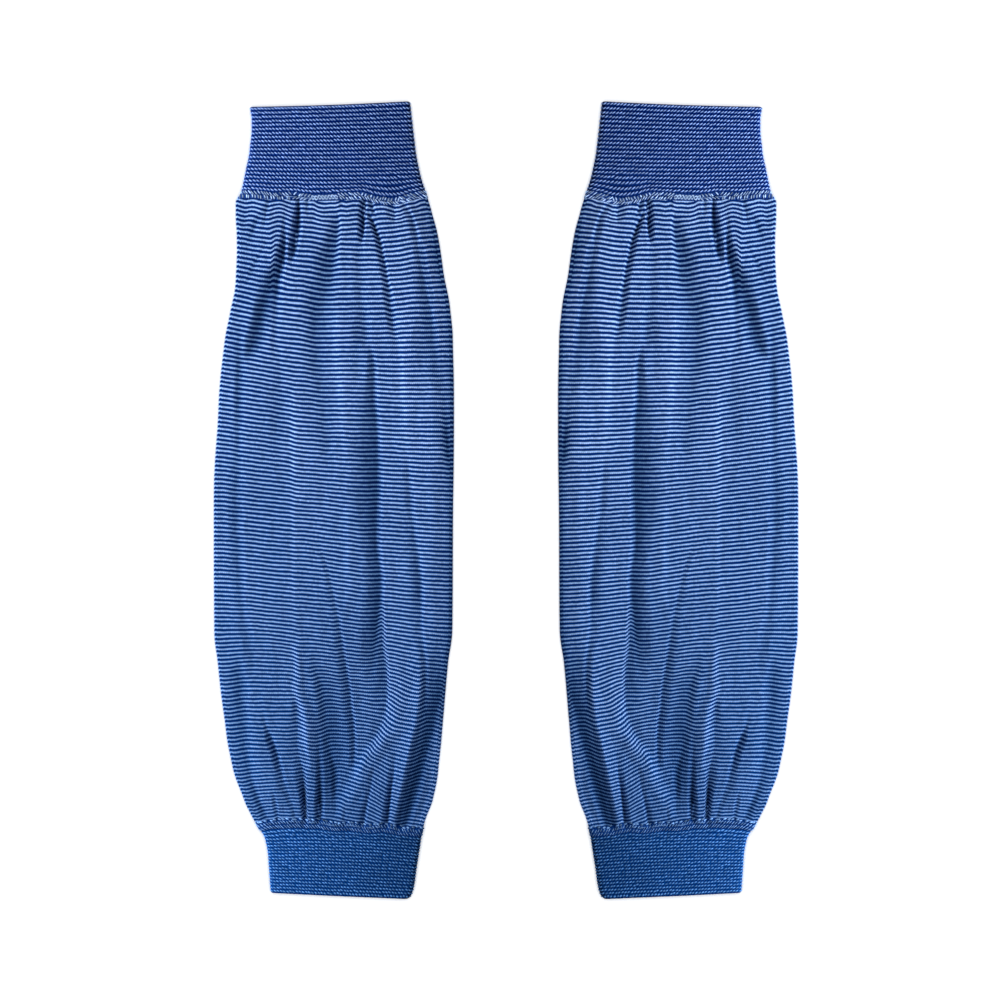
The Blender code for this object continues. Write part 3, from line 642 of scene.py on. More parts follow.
def closed_skin(name: str, points: np.ndarray, cut: np.ndarray, shade: np.ndarray) -> bpy.types.Object:
    """Wrap a grid round and round into one closed skin.

    Args:
        name: The piece's name.
        points: Places in metres, rows by columns by three. The last row repeats the first, and so
            does the last column.
        cut: Places on the flat cut in metres, rows by columns by two.
        shade: The painted light and shade at each point, rows by columns.

    Returns:
        A piece with the cut as its UV map and the painted shade as an attribute.
    """
    rows, columns = shade.shape
    form = bmesh.new()
    bmesh.ops.create_grid(form, x_segments=columns - 1, y_segments=rows - 1, size=1.0)
    form.verts.index_update()
    shade_layer = form.verts.layers.float.new(SHADE)
    for vertex, place, tone in zip(form.verts, points.reshape(-1, 3).tolist(), shade.ravel().tolist()):
        vertex.co = place
        vertex[shade_layer] = tone
    cut_layer = form.loops.layers.uv.new(CUT_UV)
    places = cut.reshape(-1, 2).tolist()
    for face in form.faces:
        for loop in face.loops:
            loop[cut_layer].uv = places[loop.vert.index]
    bmesh.ops.remove_doubles(form, verts=form.verts, dist=WELD)
    return settled(name, form)


def settled(name: str, form: bmesh.types.BMesh) -> bpy.types.Object:
    """Return a piece from a finished bmesh, with its faces turned outwards and shaded smooth."""
    bmesh.ops.recalc_face_normals(form, faces=form.faces)
    mesh = bpy.data.meshes.new(name)
    form.to_mesh(mesh)
    form.free()
    mesh.shade_smooth()
    return bpy.data.objects.new(name, mesh)


class StitchShape(Enum):
    """The form of one raised stitch."""

    GRAIN = "grain"  # a short leg of yarn that dives into the knit at both ends
    LOOP = "loop"  # a small open ring of sewing thread


@dataclass(frozen=True)
class Stitch:
    """One raised stitch. Its lengths are shares of its cell round and down the knit."""

    shape: StitchShape
    half_length: float
    half_width: float
    half_height: float  # in millimetres
    slant: float  # how many cells down it runs for each cell towards the inner side

    def build(self) -> bmesh.types.BMesh:
        """Return the stitch at the middle of a cell that is one unit long and wide."""
        form = bmesh.new()
        if self.shape is StitchShape.GRAIN:
            bmesh.ops.create_uvsphere(form, u_segments=6, v_segments=4, radius=1.0)
        else:
            ring = bmesh.ops.create_circle(form, segments=4, radius=LOOP_THREAD)["verts"]
            upright = Matrix.Rotation(pi / 2.0, 3, "X")
            bmesh.ops.rotate(form, verts=ring, cent=(0, 0, 0), matrix=upright)
            bmesh.ops.translate(form, verts=ring, vec=(1.0 - LOOP_THREAD, 0.0, 0.0))
            section = ring + form.edges[:]
            bmesh.ops.spin(
                form, geom=section, cent=(0, 0, 0), axis=(0, 0, 1), angle=2.0 * pi, steps=9, use_merge=True
            )
        bmesh.ops.scale(form, verts=form.verts, vec=(self.half_length, self.half_width, self.half_height))
        for vertex in form.verts:
            vertex.co.y -= self.slant * vertex.co.x
        bmesh.ops.translate(form, verts=form.verts, vec=(0.5, 0.5, 0.0))
        return form


@dataclass(frozen=True)
class StitchRows:
    """Rows of one stitch, laid side by side by arrays and wrapped round a form."""

    stitch: Stitch
    columns: int
    rows: int
    first: float  # distance down to the upper edge of the first row, in millimetres
    pitch: float  # from row to row, in millimetres
    height: float = 0.0  # of the stitches' middles over the face, in millimetres
    span: tuple[float, float] = (0.0, 1.0)  # the part of the way round that they cover
    uneven: float = 0.04  # how far a stitch strays, in cells
    tones: float = 0.14  # how far a stitch is lighter or darker than the yarn
    outward: float = 0.0  # how much lighter painted light makes the stitches for each millimetre outwards

    def sewn(self, name: str, face: FlatForm | BandForm, side: Side, seed: int) -> bpy.types.Object:
        """Build the stitches as one piece.

        Args:
            name: The piece's name.
            face: The form that they lie on.
            side: The sleeve that they belong to.
            seed: Where the draws that make them uneven start.

        Returns:
            The piece, with the tone of each stitch, times the painted light outwards, as an attribute.
        """
        mesh = self.laid(name)
        count = len(mesh.vertices)
        flat = np.empty(count * 3)
        mesh.vertices.foreach_get("co", flat)
        x, y, z = np.moveaxis(flat.reshape(self.rows, self.columns, -1, 3), -1, 0)
        draws = np.random.default_rng(seed).normal(size=(4, self.rows, self.columns, 1))
        x = x + self.uneven * draws[0]
        y = y + self.uneven * draws[1]
        z = z * (1.0 + 2.0 * self.uneven * draws[2])
        start, end = self.span
        part = start + (end - start) * x / self.columns
        points = face.wrap(part, self.first + self.pitch * y, self.height + z)
        mesh.vertices.foreach_set("co", points.placed(side).ravel())
        # A random tone for each stitch, times painted light that grows outwards
        tone = (1.0 + self.tones * np.clip(draws[3], -2.0, 2.0)) * (1.0 + self.outward * points.out)
        mesh.attributes.new(TONE, "FLOAT", "POINT").data.foreach_set("value", tone.ravel())
        form = bmesh.new()
        form.from_mesh(mesh)
        bpy.data.meshes.remove(mesh)
        return settled(name, form)

    def laid(self, name: str) -> bpy.types.Mesh:
        """Return the rows laid flat, one cell to a unit, as an array of arrays."""
        piece = settled(f"{name}_cell", self.stitch.build())
        bpy.context.scene.collection.objects.link(piece)
        for word, count, step in (("along", self.columns, (1, 0, 0)), ("down", self.rows, (0, 1, 0))):
            array = piece.modifiers.new(word, "ARRAY")
            array.count = count
            array.use_relative_offset = False
            array.use_constant_offset = True
            array.constant_offset_displace = step
        mesh = bpy.data.meshes.new_from_object(piece.evaluated_get(bpy.context.evaluated_depsgraph_get()))
        cell = piece.data
        bpy.data.objects.remove(piece)
        bpy.data.meshes.remove(cell)
        return mesh


@dataclass
class Nodes:
    """A material's node tree, with one way to add a node."""

    name: str
    material: bpy.types.Material = field(init=False)

    def __post_init__(self) -> None:
        """Make the material with its shader."""
        self.material = bpy.data.materials.new(self.name)
        self.material.use_nodes = True

    def add(
        self, kind: str, inputs: dict[int | str, object], output: int | str = 0, **settings: object
    ) -> bpy.types.NodeSocket:
        """Add a node.

        Args:
            kind: The node's type, without the ShaderNode that it starts with.
            inputs: For each input by number or name, the socket to link to it or its value.
            output: The output to return, by number or name.
            settings: The node's own settings.

        Returns:
            The chosen output socket.
        """
        node = self.material.node_tree.nodes.new(f"ShaderNode{kind}")
        for name, value in settings.items():
            setattr(node, name, value)
        self.feed(node, inputs)
        return node.outputs[output]

    def feed(self, node: bpy.types.Node, inputs: dict[int | str, object]) -> None:
        """Link or set a node's inputs, given by number or name."""
        for name, value in inputs.items():
            if isinstance(value, bpy.types.NodeSocket):
                self.material.node_tree.links.new(value, node.inputs[name])
            else:
                node.inputs[name].default_value = value

    def finished(
        self, colour: object, height: bpy.types.NodeSocket, relief: tuple[float, float],
        roughness: float, gloss: float,
    ) -> bpy.types.Material:
        """Feed the shader and return the material.

        Args:
            colour: The base colour, or the socket that gives it.
            height: The socket that gives the relief.
            relief: The relief's strength, and how high it stands in millimetres.
            roughness: The shader's roughness.
            gloss: The shader's specular level.
        """
        strength, stand = relief
        bump = self.add("Bump", {"Height": height, "Strength": strength, "Distance": stand * MM})
        shader = self.material.node_tree.nodes["Principled BSDF"]
        self.feed(shader, {
            "Base Color": colour,
            "Normal": bump,
            "Roughness": roughness,
            "Specular IOR Level": gloss,
        })
        return self.material


NOISE_ENDS = {"From Min": 0.3, "From Max": 0.7}  # between which nearly all of a noise's values lie


def linear(colour: str) -> tuple[float, float, float, float]:
    """Return an sRGB hex colour as linear channels with full alpha."""
    channels = [value / 255.0 for value in bytes.fromhex(colour)]
    turned = [c / 12.92 if c <= 0.04045 else ((c + 0.055) / 1.055) ** 2.4 for c in channels]
    return (*turned, 1.0)


@dataclass(frozen=True)
class StripedJersey:
    """Fine cotton jersey with a light and a dark row in turn: dull and soft, with faint V stitches."""

    light: str = "A5C8FF"
    # The colours at the wrist are the stripes' own with painted shade, which darkens the tube towards the
    # wrist
    light_at_wrist: str = "6F98D3"
    dark: str = "022669"
    dark_at_wrist: str = "022E6A"
    wrist_from: float = 50.0  # how far down the cut painted shade starts to turn the stripes to the colours at the wrist, in mm
    wale: float = 1.05  # width of one stitch in mm, drawn about a half wider than real so that it shows
    lean: float = 0.16  # how far a stitch's legs carry a stripe's edge down, in stripes
    light_share: float = 0.38  # of a stripe's pitch
    softness: float = 0.12  # of a stripe's edge, in stripes
    waver: float = 9.091  # size of the rows' waverings, in mm
    wavering: float = 0.36  # how far they carry a stripe, in stripes
    patch: float = 41.667  # size of the patches in which the dye took unevenly, in mm
    mottle: float = 0.21  # how far a stitch is lighter or darker than the next
    deepening: tuple[float, float, float] = (1.26, 1.0, 0.85)  # the powers by which painted shade, and darker stitches, turn a purer blue

    def material(self) -> bpy.types.Material:
        """Return the jersey's material. Its stripes follow the cut, so they bend with the cloth."""
        nodes = Nodes("striped_cotton_jersey")
        add = nodes.add
        cut = add("UVMap", {}, uv_map=CUT_UV)
        across = add("SeparateXYZ", {0: cut})
        down = across.node.outputs["Y"]
        wales = add("Math", {0: across, 1: 1.0 / (MM * self.wale)}, operation="MULTIPLY")
        wave = {"Vector": cut, "Scale": 1.0 / (MM * self.waver), "Detail": 4.0, "Roughness": 0.55}
        wavering = add("TexNoise", wave)
        stripes = add("Math", {0: down, 1: 1.0 / (MM * STRIPE_PITCH)}, operation="MULTIPLY")
        strayed = add("Math", {0: wavering, 1: self.wavering, 2: stripes}, operation="MULTIPLY_ADD")
        within = add("Math", {0: wales}, operation="FRACT")
        centred = add("Math", {0: within, 1: 0.5}, operation="SUBTRACT")
        leg = add("Math", {0: centred}, operation="ABSOLUTE")
        leaning = add("Math", {0: leg, 1: 2.0 * self.lean, 2: strayed}, operation="MULTIPLY_ADD")
        cycle = add("Math", {0: leaning}, operation="FRACT")
        off_middle = add("Math", {0: cycle, 1: 0.5}, operation="SUBTRACT")
        from_middle = add("Math", {0: off_middle}, operation="ABSOLUTE")
        edge, soft = self.light_share / 2.0, self.softness / 2.0
        stripe = {"Value": from_middle, "From Min": edge + soft, "From Max": edge - soft}
        is_light = add("MapRange", stripe, interpolation_type="SMOOTHSTEP")
        # Painted shade that darkens the stripes towards the wrist
        ends = {"From Min": self.wrist_from * MM, "From Max": TUBE_LENGTH * MM}
        wrist = add("MapRange", {"Value": down, **ends})
        dark, light = [
            add("Mix", {0: wrist, 6: linear(above), 7: linear(at_wrist)}, 2, data_type="RGBA")
            for above, at_wrist in ((self.dark, self.dark_at_wrist), (self.light, self.light_at_wrist))
        ]
        plain = add("Mix", {0: is_light, 6: dark, 7: light}, 2, data_type="RGBA")
        wale_number = add("Math", {0: wales}, operation="FLOOR")
        twice = add("Math", {0: leaning, 1: 2.0}, operation="MULTIPLY")
        course_number = add("Math", {0: twice}, operation="FLOOR")
        stitch = add("CombineXYZ", {0: wale_number, 1: course_number})
        draw = add("TexWhiteNoise", {"Vector": stitch}, "Value", noise_dimensions="2D")
        wash = add("TexNoise", {"Vector": cut, "Scale": 1.0 / (MM * self.patch), "Detail": 3.0})
        # The skin's painted light and shade, which the factors below multiply
        tone = add("Attribute", {}, "Fac", attribute_name=SHADE)
        # No two stitches are alike, painted shade darkens the gaps between wales, and the dye took unevenly
        for factor in (
            {"Value": draw, "To Min": 1.0 - self.mottle, "To Max": 1.0 + self.mottle},
            {"Value": leg, "From Min": 0.22, "From Max": 0.5, "To Min": 1.06, "To Max": 0.62},
            {"Value": wash, **NOISE_ENDS, "To Min": 0.93, "To Max": 1.07},
        ):
            tone = add("Math", {0: tone, 1: add("MapRange", factor)}, operation="MULTIPLY")
        deepened = [add("Math", {0: tone, 1: power}, operation="POWER") for power in self.deepening]
        tint = add("CombineXYZ", dict(enumerate(deepened)))
        colour = add("VectorMath", {0: plain, 1: tint}, operation="MULTIPLY")
        valley = add("Math", {0: leg, 1: leg}, operation="MULTIPLY")
        relief = add("Math", {0: valley, 1: -2.0, 2: is_light}, operation="MULTIPLY_ADD")
        return nodes.finished(colour, relief, (0.5, 0.18), roughness=0.92, gloss=0.0)


@dataclass(frozen=True)
class CuffGround:
    """Close double knit behind a cuff's stitches: matt navy, with painted shade in the holes between its
    rows.
    """

    name: str
    yarn: str
    # the colour of the painted shade in the holes
    hole: str
    cell: float  # width of one stitch on the cut, in millimetres
    pitch: float  # from row to row, in millimetres
    slant: float  # how far down a row of holes leans in each cell, in rows
    hole_squeeze: tuple[float, float] = (2.2, 4.0)  # how many times smaller a hole is than its cell
    patch: float = 16.667  # size of the patches in which the dye took unevenly, in millimetres

    def material(self) -> bpy.types.Material:
        """Return the ground's material, with a hole of painted shade under each stitch."""
        nodes = Nodes(self.name)
        add = nodes.add
        cut = add("UVMap", {}, uv_map=CUT_UV)
        across = add("SeparateXYZ", {0: cut})
        down = across.node.outputs["Y"]
        columns = add("Math", {0: across, 1: 1.0 / (MM * self.cell)}, operation="MULTIPLY")
        rows = add("Math", {0: down, 1: 1.0 / (MM * self.pitch)}, operation="MULTIPLY")
        x_in_cell = add("Math", {0: columns}, operation="FRACT")
        x_off = add("Math", {0: x_in_cell, 1: 0.5}, operation="SUBTRACT")
        leaned = add("Math", {0: x_off, 1: self.slant, 2: rows}, operation="MULTIPLY_ADD")
        y_in_cell = add("Math", {0: leaned, 1: 0.5}, operation="PINGPONG")
        offsets = [
            add("Math", {0: off, 1: squeeze}, operation="MULTIPLY")
            for off, squeeze in zip((x_off, y_in_cell), self.hole_squeeze)
        ]
        offset = add("CombineXYZ", dict(enumerate(offsets)))
        distance = add("VectorMath", {0: offset}, "Value", operation="LENGTH")
        # Painted shade fills each hole
        rim = {"Value": distance, "From Min": 1.15, "From Max": 0.55}
        hole = add("MapRange", rim, interpolation_type="SMOOTHSTEP")
        wash = add("TexNoise", {"Vector": cut, "Scale": 1.0 / (MM * self.patch), "Detail": 4.0})
        washed = add("MapRange", {"Value": wash, **NOISE_ENDS, "To Min": 0.88, "To Max": 1.12})
        plain = add("Mix", {0: hole, 6: linear(self.yarn), 7: linear(self.hole)}, 2, data_type="RGBA")
        shade = add("Attribute", {}, "Fac", attribute_name=SHADE)
        tone = add("Math", {0: shade, 1: washed}, operation="MULTIPLY")
        colour = add("VectorMath", {0: plain, "Scale": tone}, operation="SCALE")
        sunk = add("Math", {0: 1.0, 1: hole}, operation="SUBTRACT")
        return nodes.finished(colour, sunk, (0.7, 0.3), roughness=0.9, gloss=0.0)


@dataclass(frozen=True)
class CottonYarn:
    """Spun cotton yarn of the raised stitches: dull, slightly fuzzy, no two stitches quite alike."""

    name: str
    colour: str
    fuzz: float = 0.7143  # size of its fuzz in millimetres, coarser than real so that it shows

    def material(self) -> bpy.types.Material:
        """Return the yarn's material."""
        nodes = Nodes(self.name)
        add = nodes.add
        place = add("TexCoord", {}, "Object")
        fuzz = add("TexNoise", {"Vector": place, "Scale": 1.0 / (MM * self.fuzz), "Detail": 2.0})
        fuzzy = add("MapRange", {"Value": fuzz, **NOISE_ENDS, "To Min": 0.86, "To Max": 1.14})
        # The stitches' tone carries painted light that grows outwards
        tone = add("Attribute", {}, "Fac", attribute_name=TONE)
        factor = add("Math", {0: tone, 1: fuzzy}, operation="MULTIPLY")
        colour = add("VectorMath", {0: linear(self.colour)[:3], "Scale": factor}, operation="SCALE")
        return nodes.finished(colour, fuzz, (0.3, 0.1), roughness=0.85, gloss=0.04)


@dataclass(frozen=True)
class Paper:
    """Matt white paper under the pair: even and nearly white, with a faint grain."""

    colour: str = "F1F1F1"
    grain: float = 1.4286  # size of its grain in millimetres, coarser than real so that it shows

    def material(self) -> bpy.types.Material:
        """Return the paper's material."""
        nodes = Nodes("matt_white_paper")
        place = nodes.add("TexCoord", {}, "Object")
        grain = nodes.add("TexNoise", {"Vector": place, "Scale": 1.0 / (MM * self.grain), "Detail": 3.0})
        return nodes.finished(linear(self.colour), grain, (0.05, 0.1), roughness=0.9, gloss=0.5)


@dataclass(frozen=True)
class Wardrobe:
    """The finishes that both sleeves share."""

    jersey: bpy.types.Material
    upper_ground: bpy.types.Material
    lower_ground: bpy.types.Material
    upper_band: bpy.types.Material
    lower_band: bpy.types.Material
    upper_yarn: bpy.types.Material
    lower_yarn: bpy.types.Material
    upper_thread: bpy.types.Material
    lower_thread: bpy.types.Material


@dataclass(frozen=True)
class StripedTube:
    """The striped tube of one sleeve, gathered into both cuffs."""

    side: Side
    form: FlatForm
    columns: tuple[int, int, int, int] = (236, 8, 76, 8)
    outer_rows: int = 226
    inner_rows: int = 24
    cut_round: float = 252.0
    cut_shares: tuple[float, ...] = (0.0, 0.49, 0.5, 0.99, 1.0)  # how far round the cut each leg starts

    def stripe_falls(self, points: Points, around: np.ndarray, down: np.ndarray) -> np.ndarray:
        """Return how far each point's course lies below where it crosses the axis.

        Args:
            points: The points.
            around: Their places round the tube.
            down: Where their courses cross the axis.

        Returns:
            The falls. Beneath, they run evenly from one side fold's to the other's.
        """
        falls = COURSES.at(down)
        last = len(falls) - 1

        def at(out: np.ndarray) -> np.ndarray:
            """Read the falls at distances out, on a curve through the table's columns."""
            where = np.clip((COURSE_OUT - out) / COURSE_STEP, 0.0, last)
            index = np.minimum(where.astype(int), last - 1)
            wanted = [np.clip(index + step, 0, last)[None] for step in (-1, 0, 1, 2)]
            near = [np.take_along_axis(falls, column, axis=0)[0] for column in wanted]
            f = where - index
            rising = (near[2] - near[0]) / 2.0
            leaving = (near[3] - near[1]) / 2.0
            return (
                near[1] * (1.0 + 2.0 * f) * (1.0 - f) ** 2 + rising * f * (1.0 - f) ** 2
                + near[2] * f * f * (3.0 - 2.0 * f) - leaving * f * f * (1.0 - f)
            )

        outer, inner = self.form.table.at(down)[:2]
        share = (points.out + inner) / (outer + inner)
        beneath = at(outer) * share + at(-inner) * (1.0 - share)
        return np.where(np.floor(around) == 2, beneath, at(points.out))

    def build(self) -> bpy.types.Object:
        """Build the tube's skin."""
        first, last = UPPER_SEAM + SEAM_GAP / 2.0, LOWER_SEAM - SEAM_GAP / 2.0
        down, inset = Ring(first, last, TUBE_WALL, self.outer_rows, self.inner_rows, (False, False)).rows()
        around = places_round(self.columns)
        points = self.form.place(around % 4.0, down, inset)
        on_top = around % 4.0 < 1.0
        ripples = UPPER_RIPPLES.at(points.out)[0] * ease(1.0 - (down - UPPER_SEAM) / RIPPLE_REACH)
        carried = self.form.crease_fall(points.out, down) + ripples
        pulled = points.below - np.where(on_top, carried, 0.0)
        crossing = pulled
        for _ in range(3):
            crossing = pulled - self.stripe_falls(points, around % 4.0, crossing)
        even = np.interp(around, range(5), self.cut_shares)
        below = STRIPES.at(crossing)[0] * STRIPE_PITCH
        cut = np.stack(np.broadcast_arrays(even * self.cut_round, below), axis=-1) * MM
        # Painted shade, darker deep in creases and on the folds turned from the light, and painted light on
        # ridges and towards the inner side
        hollow = np.where(on_top, self.form.hollow(points.out, down), 0.0)
        shade = 1.0 - HOLLOW_SHADE * np.clip(hollow, RIDGE_LIMIT, 1.0)
        outer, inner = self.form.table.at(down)[:2]
        inner_shade, outer_shade = FOLD_SHADES.at(down)
        shade = shade * (1.0 - inner_shade * ease(1.0 - (points.out + inner) / INNER_FOLD_REACH))
        shade = shade * (1.0 - outer_shade * ease(1.0 - (outer - points.out) / OUTER_FOLD_REACH))
        shade = shade * (1.0 + INNER_LIGHT * ease((INNER_LIGHT_FROM - points.out) / INNER_LIGHT_REACH))
        return closed_skin(f"{self.side.word}_striped_tube", points.placed(self.side), cut, shade)

    def dress(self, wardrobe: Wardrobe) -> None:
        piece = finish_piece(self.build(), self.side, "striped_knit", wardrobe.jersey)
        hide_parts(f"{self.side.word}_sleeve_tube")


@dataclass(frozen=True)
class KnitCuff:
    """A doubled cuff: a close ground and rows of raised stitches round it."""

    side: Side
    node: str
    form: FlatForm
    rows: StitchRows
    first: float
    last: float
    lips: tuple[bool, bool]
    cut_round: float
    cell: float
    seed: int
    columns: tuple[int, int, int, int] = (110, 10, 60, 10)
    outer_rows: int = 44
    inner_rows: int = 12

    def ground(self) -> bpy.types.Object:
        """Build the ground's skin."""
        ring = Ring(self.first, self.last, CUFF_WALL, self.outer_rows, self.inner_rows, self.lips)
        down, inset, around = np.broadcast_arrays(*ring.rows(), places_round(self.columns))
        points = self.form.place(around % 4.0, down, inset)
        along = self.form.round_part(around, down) * self.rows.columns * self.cell
        cut = np.stack((along * MM, (down - self.rows.first) * MM), axis=-1)
        # Painted shade on the inner fold, and painted light that grows outwards
        from_inner = points.out + self.form.table.at(down)[1]
        edge_shade = 1.0 - EDGE_SHADE * ease(1.0 - from_inner / EDGE_REACH)
        shade = (1.0 + self.rows.outward * points.out) * edge_shade
        return closed_skin(f"{self.side.word}_{self.node}_ground", points.placed(self.side), cut, shade)

    def dress(self, slot: str, ground: bpy.types.Material, yarn: bpy.types.Material, length: float) -> None:
        """Args:
            slot: The record's material slot.
            ground: The ground's finish.
            yarn: The raised stitches' finish.
            length: Not used.
        """
        piece = finish_piece(self.ground(), self.side, slot, ground)
        node = f"{self.side.word}_{self.node}"
        rows = self.rows.sewn(f"{node}_stitches", self.form, self.side, self.seed)
        stitches = finish_piece(rows, self.side, slot, yarn)
        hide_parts(node)


@dataclass(frozen=True)
class SewnBand:
    """The narrow band over a cuff seam, with the threads that link the two knits."""

    side: Side
    word: str
    face: BandForm
    slot: str
    threads: tuple[StitchRows, ...]
    seed: int
    columns: int = 300
    rows: int = 11
    thickness: float = 0.7
    cell: float = 0.6

    def ground(self) -> bpy.types.Object:
        """Build the band's skin."""
        seam = self.face.seam.down
        over = np.linspace(-self.face.reach, self.face.reach, self.rows)
        back = over[::-3]
        down = (seam + np.concatenate((over, back, over[:1])))[:, None]
        height = np.concatenate((0.0 * over, 0.0 * back - self.thickness, [0.0]))[:, None]
        part = np.linspace(0.0, 1.0, self.columns + 1)[None, :]
        down, height, part = np.broadcast_arrays(down, height, part)
        points = self.face.wrap(part, down, height)
        cut = np.stack((part * self.columns * self.cell * MM, (down - seam) * MM), axis=-1)
        name = f"{self.side.word}_{self.word}_seam_band"
        return closed_skin(name, points.placed(self.side), cut, np.ones(part.shape))

    def dress(self, ground: bpy.types.Material, thread: bpy.types.Material) -> None:
        """Build the band and its threads and give them their finishes."""
        finish_piece(self.ground(), self.side, self.slot, ground)
        for number, row in enumerate(self.threads, 1):
            name = f"{self.side.word}_{self.word}_seam_thread_{number}"
            sewn = row.sewn(name, self.face, self.side, self.seed + number)
            finish_piece(sewn, self.side, self.slot, thread)


@dataclass(frozen=True)
class Sleeve:
    """One whole sleeve."""

    side: Side
    upper_seam: Seam = Seam(UPPER_SEAM, UPPER_WAVE)
    lower_seam: Seam = Seam(LOWER_SEAM, LOWER_WAVE)

    def dress(self, wardrobe: Wardrobe) -> None:
        """Build the sleeve's pieces from its open upper end to its wrist."""
        side = self.side
        upper, lower = self.upper_seam, self.lower_seam
        upper_form = FlatForm(UPPER_CUFF, CUFF_WALL, (upper,), UPPER_CUFF_FOLLOWS, lift=STITCH_LIFT)
        tube_form = FlatForm(TUBE, TUBE_WALL, (upper, lower), TUBE_FOLLOWS, TUBE_CREASES, TUBE_PUFF)
        lower_form = FlatForm(LOWER_CUFF, CUFF_WALL, (lower,), LOWER_CUFF_FOLLOWS, lift=STITCH_LIFT)
        # Stitches: shape, half length, width and height, slant
        dash = Stitch(StitchShape.GRAIN, 0.51, 0.18, 0.42, 0.46)
        dot = Stitch(StitchShape.GRAIN, 0.50, 0.24, 0.36, 0.36)
        KnitCuff(
            side, "upper_cuff", upper_form, StitchRows(dash, 98, 21, 3.1, 2.2, outward=0.004), 4.1,
            UPPER_SEAM - SEAM_GAP / 2.0, (True, False), 182.0, 1.86, 11,
        ).dress("upper_cuff_knit", wardrobe.upper_ground, wardrobe.upper_yarn, 49.0)
        StripedTube(side, tube_form).dress(wardrobe)
        KnitCuff(
            side, "lower_cuff", lower_form,
            StitchRows(dot, 92, 19, 383.6, 1.78, 0.0, (0.0, 1.0), 0.07, 0.18, 0.0075),
            LOWER_SEAM + SEAM_GAP / 2.0, 416.85, (False, True), 158.0, 1.72, 12,
        ).dress("lower_cuff_knit", wardrobe.lower_ground, wardrobe.lower_yarn, 37.0)
        leg = Stitch(StitchShape.GRAIN, 0.56, 0.19, 0.38, 0.85)
        cross = Stitch(StitchShape.GRAIN, 0.50, 0.22, 0.42, -0.8)
        loop = Stitch(StitchShape.LOOP, 0.54, 0.45, 0.5, 0.2)
        fine_leg = Stitch(StitchShape.GRAIN, 0.54, 0.17, 0.30, 0.80)
        scribble = Stitch(StitchShape.GRAIN, 0.40, 0.30, 0.34, 0.3)
        # Rows of threads: stitch, columns, rows, first, pitch, height, span, uneven, tones, outward
        top = UPPER_SEAM - 2.1
        SewnBand(
            side, "upper", BandForm(upper_form, tube_form, upper, 1.0, 2.2), "upper_cuff_knit",
            (
                StitchRows(leg, 82, 2, top, 2.1, 0.0, (0.343, 1.0), 0.13, 0.35),
                StitchRows(cross, 5, 2, top, 2.1, 0.1, (0.290, 0.336), 0.12, 0.2),
                StitchRows(loop, 8, 1, UPPER_SEAM - 1.5, 2.9, 0.1, (0.220, 0.290), 0.04, 0.1),
                StitchRows(leg, 7, 2, top, 2.1, 0.0, (0.160, 0.218), 0.13, 0.3),
                StitchRows(cross, 13, 1, top + 0.2, 2.0, 0.0, (0.058, 0.158), 0.12, 0.35),
                StitchRows(leg, 13, 1, top + 1.9, 2.1, 0.1, (0.062, 0.160), 0.12, 0.35),
                StitchRows(leg, 8, 2, top, 2.1, 0.0, (0.0, 0.058), 0.13, 0.35),
            ),
            21,
        ).dress(wardrobe.upper_band, wardrobe.upper_thread)
        SewnBand(
            side, "lower", BandForm(lower_form, tube_form, lower, -1.0, 2.8), "lower_cuff_knit",
            (
                StitchRows(fine_leg, 118, 2, LOWER_SEAM - 1.5, 2.1, 0.0, (0.0, 1.0), 0.07, 0.25, 0.006),
                StitchRows(scribble, 80, 1, LOWER_SEAM - 2.9, 1.6, 0.1, (0.0, 1.0), 0.18, 0.4, 0.006),
            ),
            31,
        ).dress(wardrobe.lower_band, wardrobe.lower_thread)
        log.info("%s sleeve built", side.word)


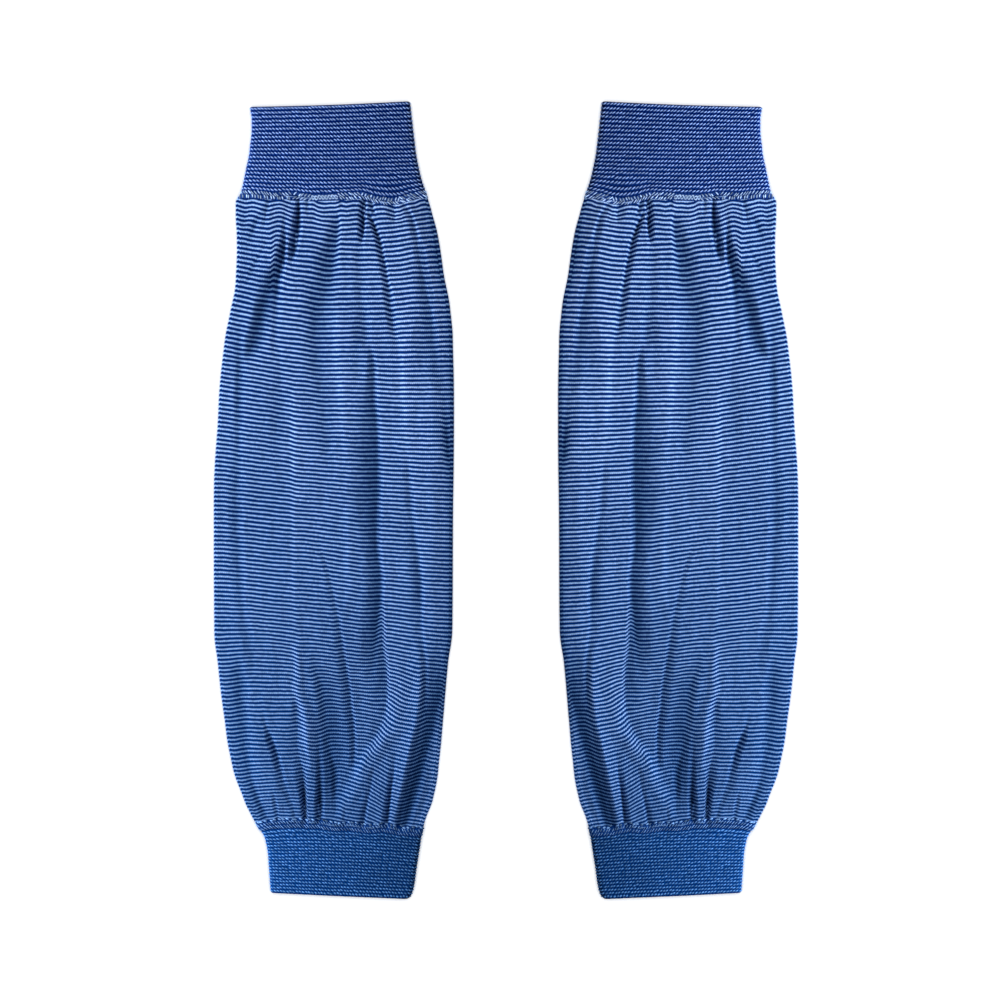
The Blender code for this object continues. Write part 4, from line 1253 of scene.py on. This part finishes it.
@dataclass(frozen=True)
class Studio:
    """The paper floor, the soft lights and the camera."""

    floor_half: float = 3.0
    sky: float = 0.42
    sky_colour: tuple[float, float, float, float] = (0.95, 1.0, 1.07, 1.0)
    key_watts: float = 18.3
    key_size: tuple[float, float] = (0.35, 1.0)
    key_out: float = 1.0
    key_up: float = 0.55
    sun_strength: float = 2.9
    sun_spread: float = radians(60.0)
    sun_up: float = 2.0
    camera_place: tuple[float, float, float] = (-0.00315, -0.00026, 3.0)
    view_width: float = 0.525
    sensor: float = 36.0

    def floor(self) -> None:
        """Lay the paper under the pair."""
        form = bmesh.new()
        bmesh.ops.create_grid(form, x_segments=4, y_segments=4, size=self.floor_half)
        piece = settled("floor", form)
        piece.data.materials.append(Paper().material())
        group = bpy.data.collections.new("studio_floor")
        bpy.context.scene.collection.children.link(group)
        group.objects.link(piece)

    def sky_light(self) -> None:
        """Light the scene evenly and faintly from all round."""
        world = bpy.data.worlds.new("studio")
        world.use_nodes = True
        background = world.node_tree.nodes["Background"]
        background.inputs["Color"].default_value = self.sky_colour
        background.inputs["Strength"].default_value = self.sky
        bpy.context.scene.world = world

    def lamp(
        self, light: bpy.types.Light, place: Vector, aim: Vector, lit: bpy.types.Collection
    ) -> None:
        """Hang a lamp that lights one collection.

        Args:
            light: Its light.
            place: Where it hangs.
            aim: The point that it faces.
            lit: What it lights.
        """
        lamp = bpy.data.objects.new(light.name, light)
        lamp.location = place
        lamp.rotation_euler = (aim - place).to_track_quat("-Z", "Y").to_euler()
        lamp.light_linking.receiver_collection = lit
        bpy.context.scene.collection.objects.link(lamp)

    def lights(self) -> None:
        """Light each sleeve low from its outer side, and the paper from straight above."""
        self.sky_light()
        for side in Side:
            light = bpy.data.lights.new(f"{side.word}_key", "AREA")
            light.shape = "RECTANGLE"
            light.size, light.size_y = self.key_size
            light.energy = self.key_watts
            aim = Vector((side.value * AXIS_TO_MIDDLE * MM, 0.0, 0.0))
            place = aim + Vector((side.value * self.key_out, 0.0, self.key_up))
            self.lamp(light, place, aim, sleeve_group(side))
        sun = bpy.data.lights.new("paper_sun", "SUN")
        sun.energy = self.sun_strength
        sun.angle = self.sun_spread
        self.lamp(sun, Vector((0.0, 0.0, self.sun_up)), Vector(), bpy.data.collections["studio_floor"])

    def camera(self) -> None:
        """Look straight down at the pair."""
        lens = bpy.data.cameras.new("overhead")
        lens.sensor_width = self.sensor
        lens.lens = self.sensor * self.camera_place[2] / self.view_width
        camera = bpy.data.objects.new("overhead", lens)
        camera.location = self.camera_place
        bpy.context.scene.collection.objects.link(camera)
        bpy.context.scene.camera = camera

    def build(self) -> None:
        """Set up the whole studio."""
        self.floor()
        self.lights()
        self.camera()
        bpy.context.scene.view_settings.view_transform = "Standard"


def make_wardrobe() -> Wardrobe:
    """Make the finishes that both sleeves share."""
    return Wardrobe(
        jersey=StripedJersey().material(),
        upper_ground=CuffGround("navy_cuff_double_knit", "0B2E72", "00104E", 1.86, 2.22, 0.42).material(),
        lower_ground=CuffGround("blue_cuff_double_knit", "0A3F80", "002565", 1.72, 1.78, 0.25).material(),
        upper_band=CuffGround("linked_seam_knit", "24468C", "031C58", 1.5, 2.1, 0.85).material(),
        lower_band=CuffGround("wrist_seam_knit", "0C3678", "012460", 1.5, 2.1, 0.8).material(),
        upper_yarn=CottonYarn("periwinkle_cuff_yarn", "9ABAF9").material(),
        lower_yarn=CottonYarn("sky_cuff_yarn", "5489C9").material(),
        upper_thread=CottonYarn("pale_seam_thread", "BAD8FF").material(),
        lower_thread=CottonYarn("sky_seam_thread", "749FD6").material(),
    )


def main() -> None:
    """Build the looks of the pair in order."""
    logging.basicConfig(level=logging.INFO, format="%(name)s: %(message)s")
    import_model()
    wardrobe = make_wardrobe()
    for side in Side:
        Sleeve(side).dress(wardrobe)
    Studio().build()


if __name__ == "__main__":
    main()
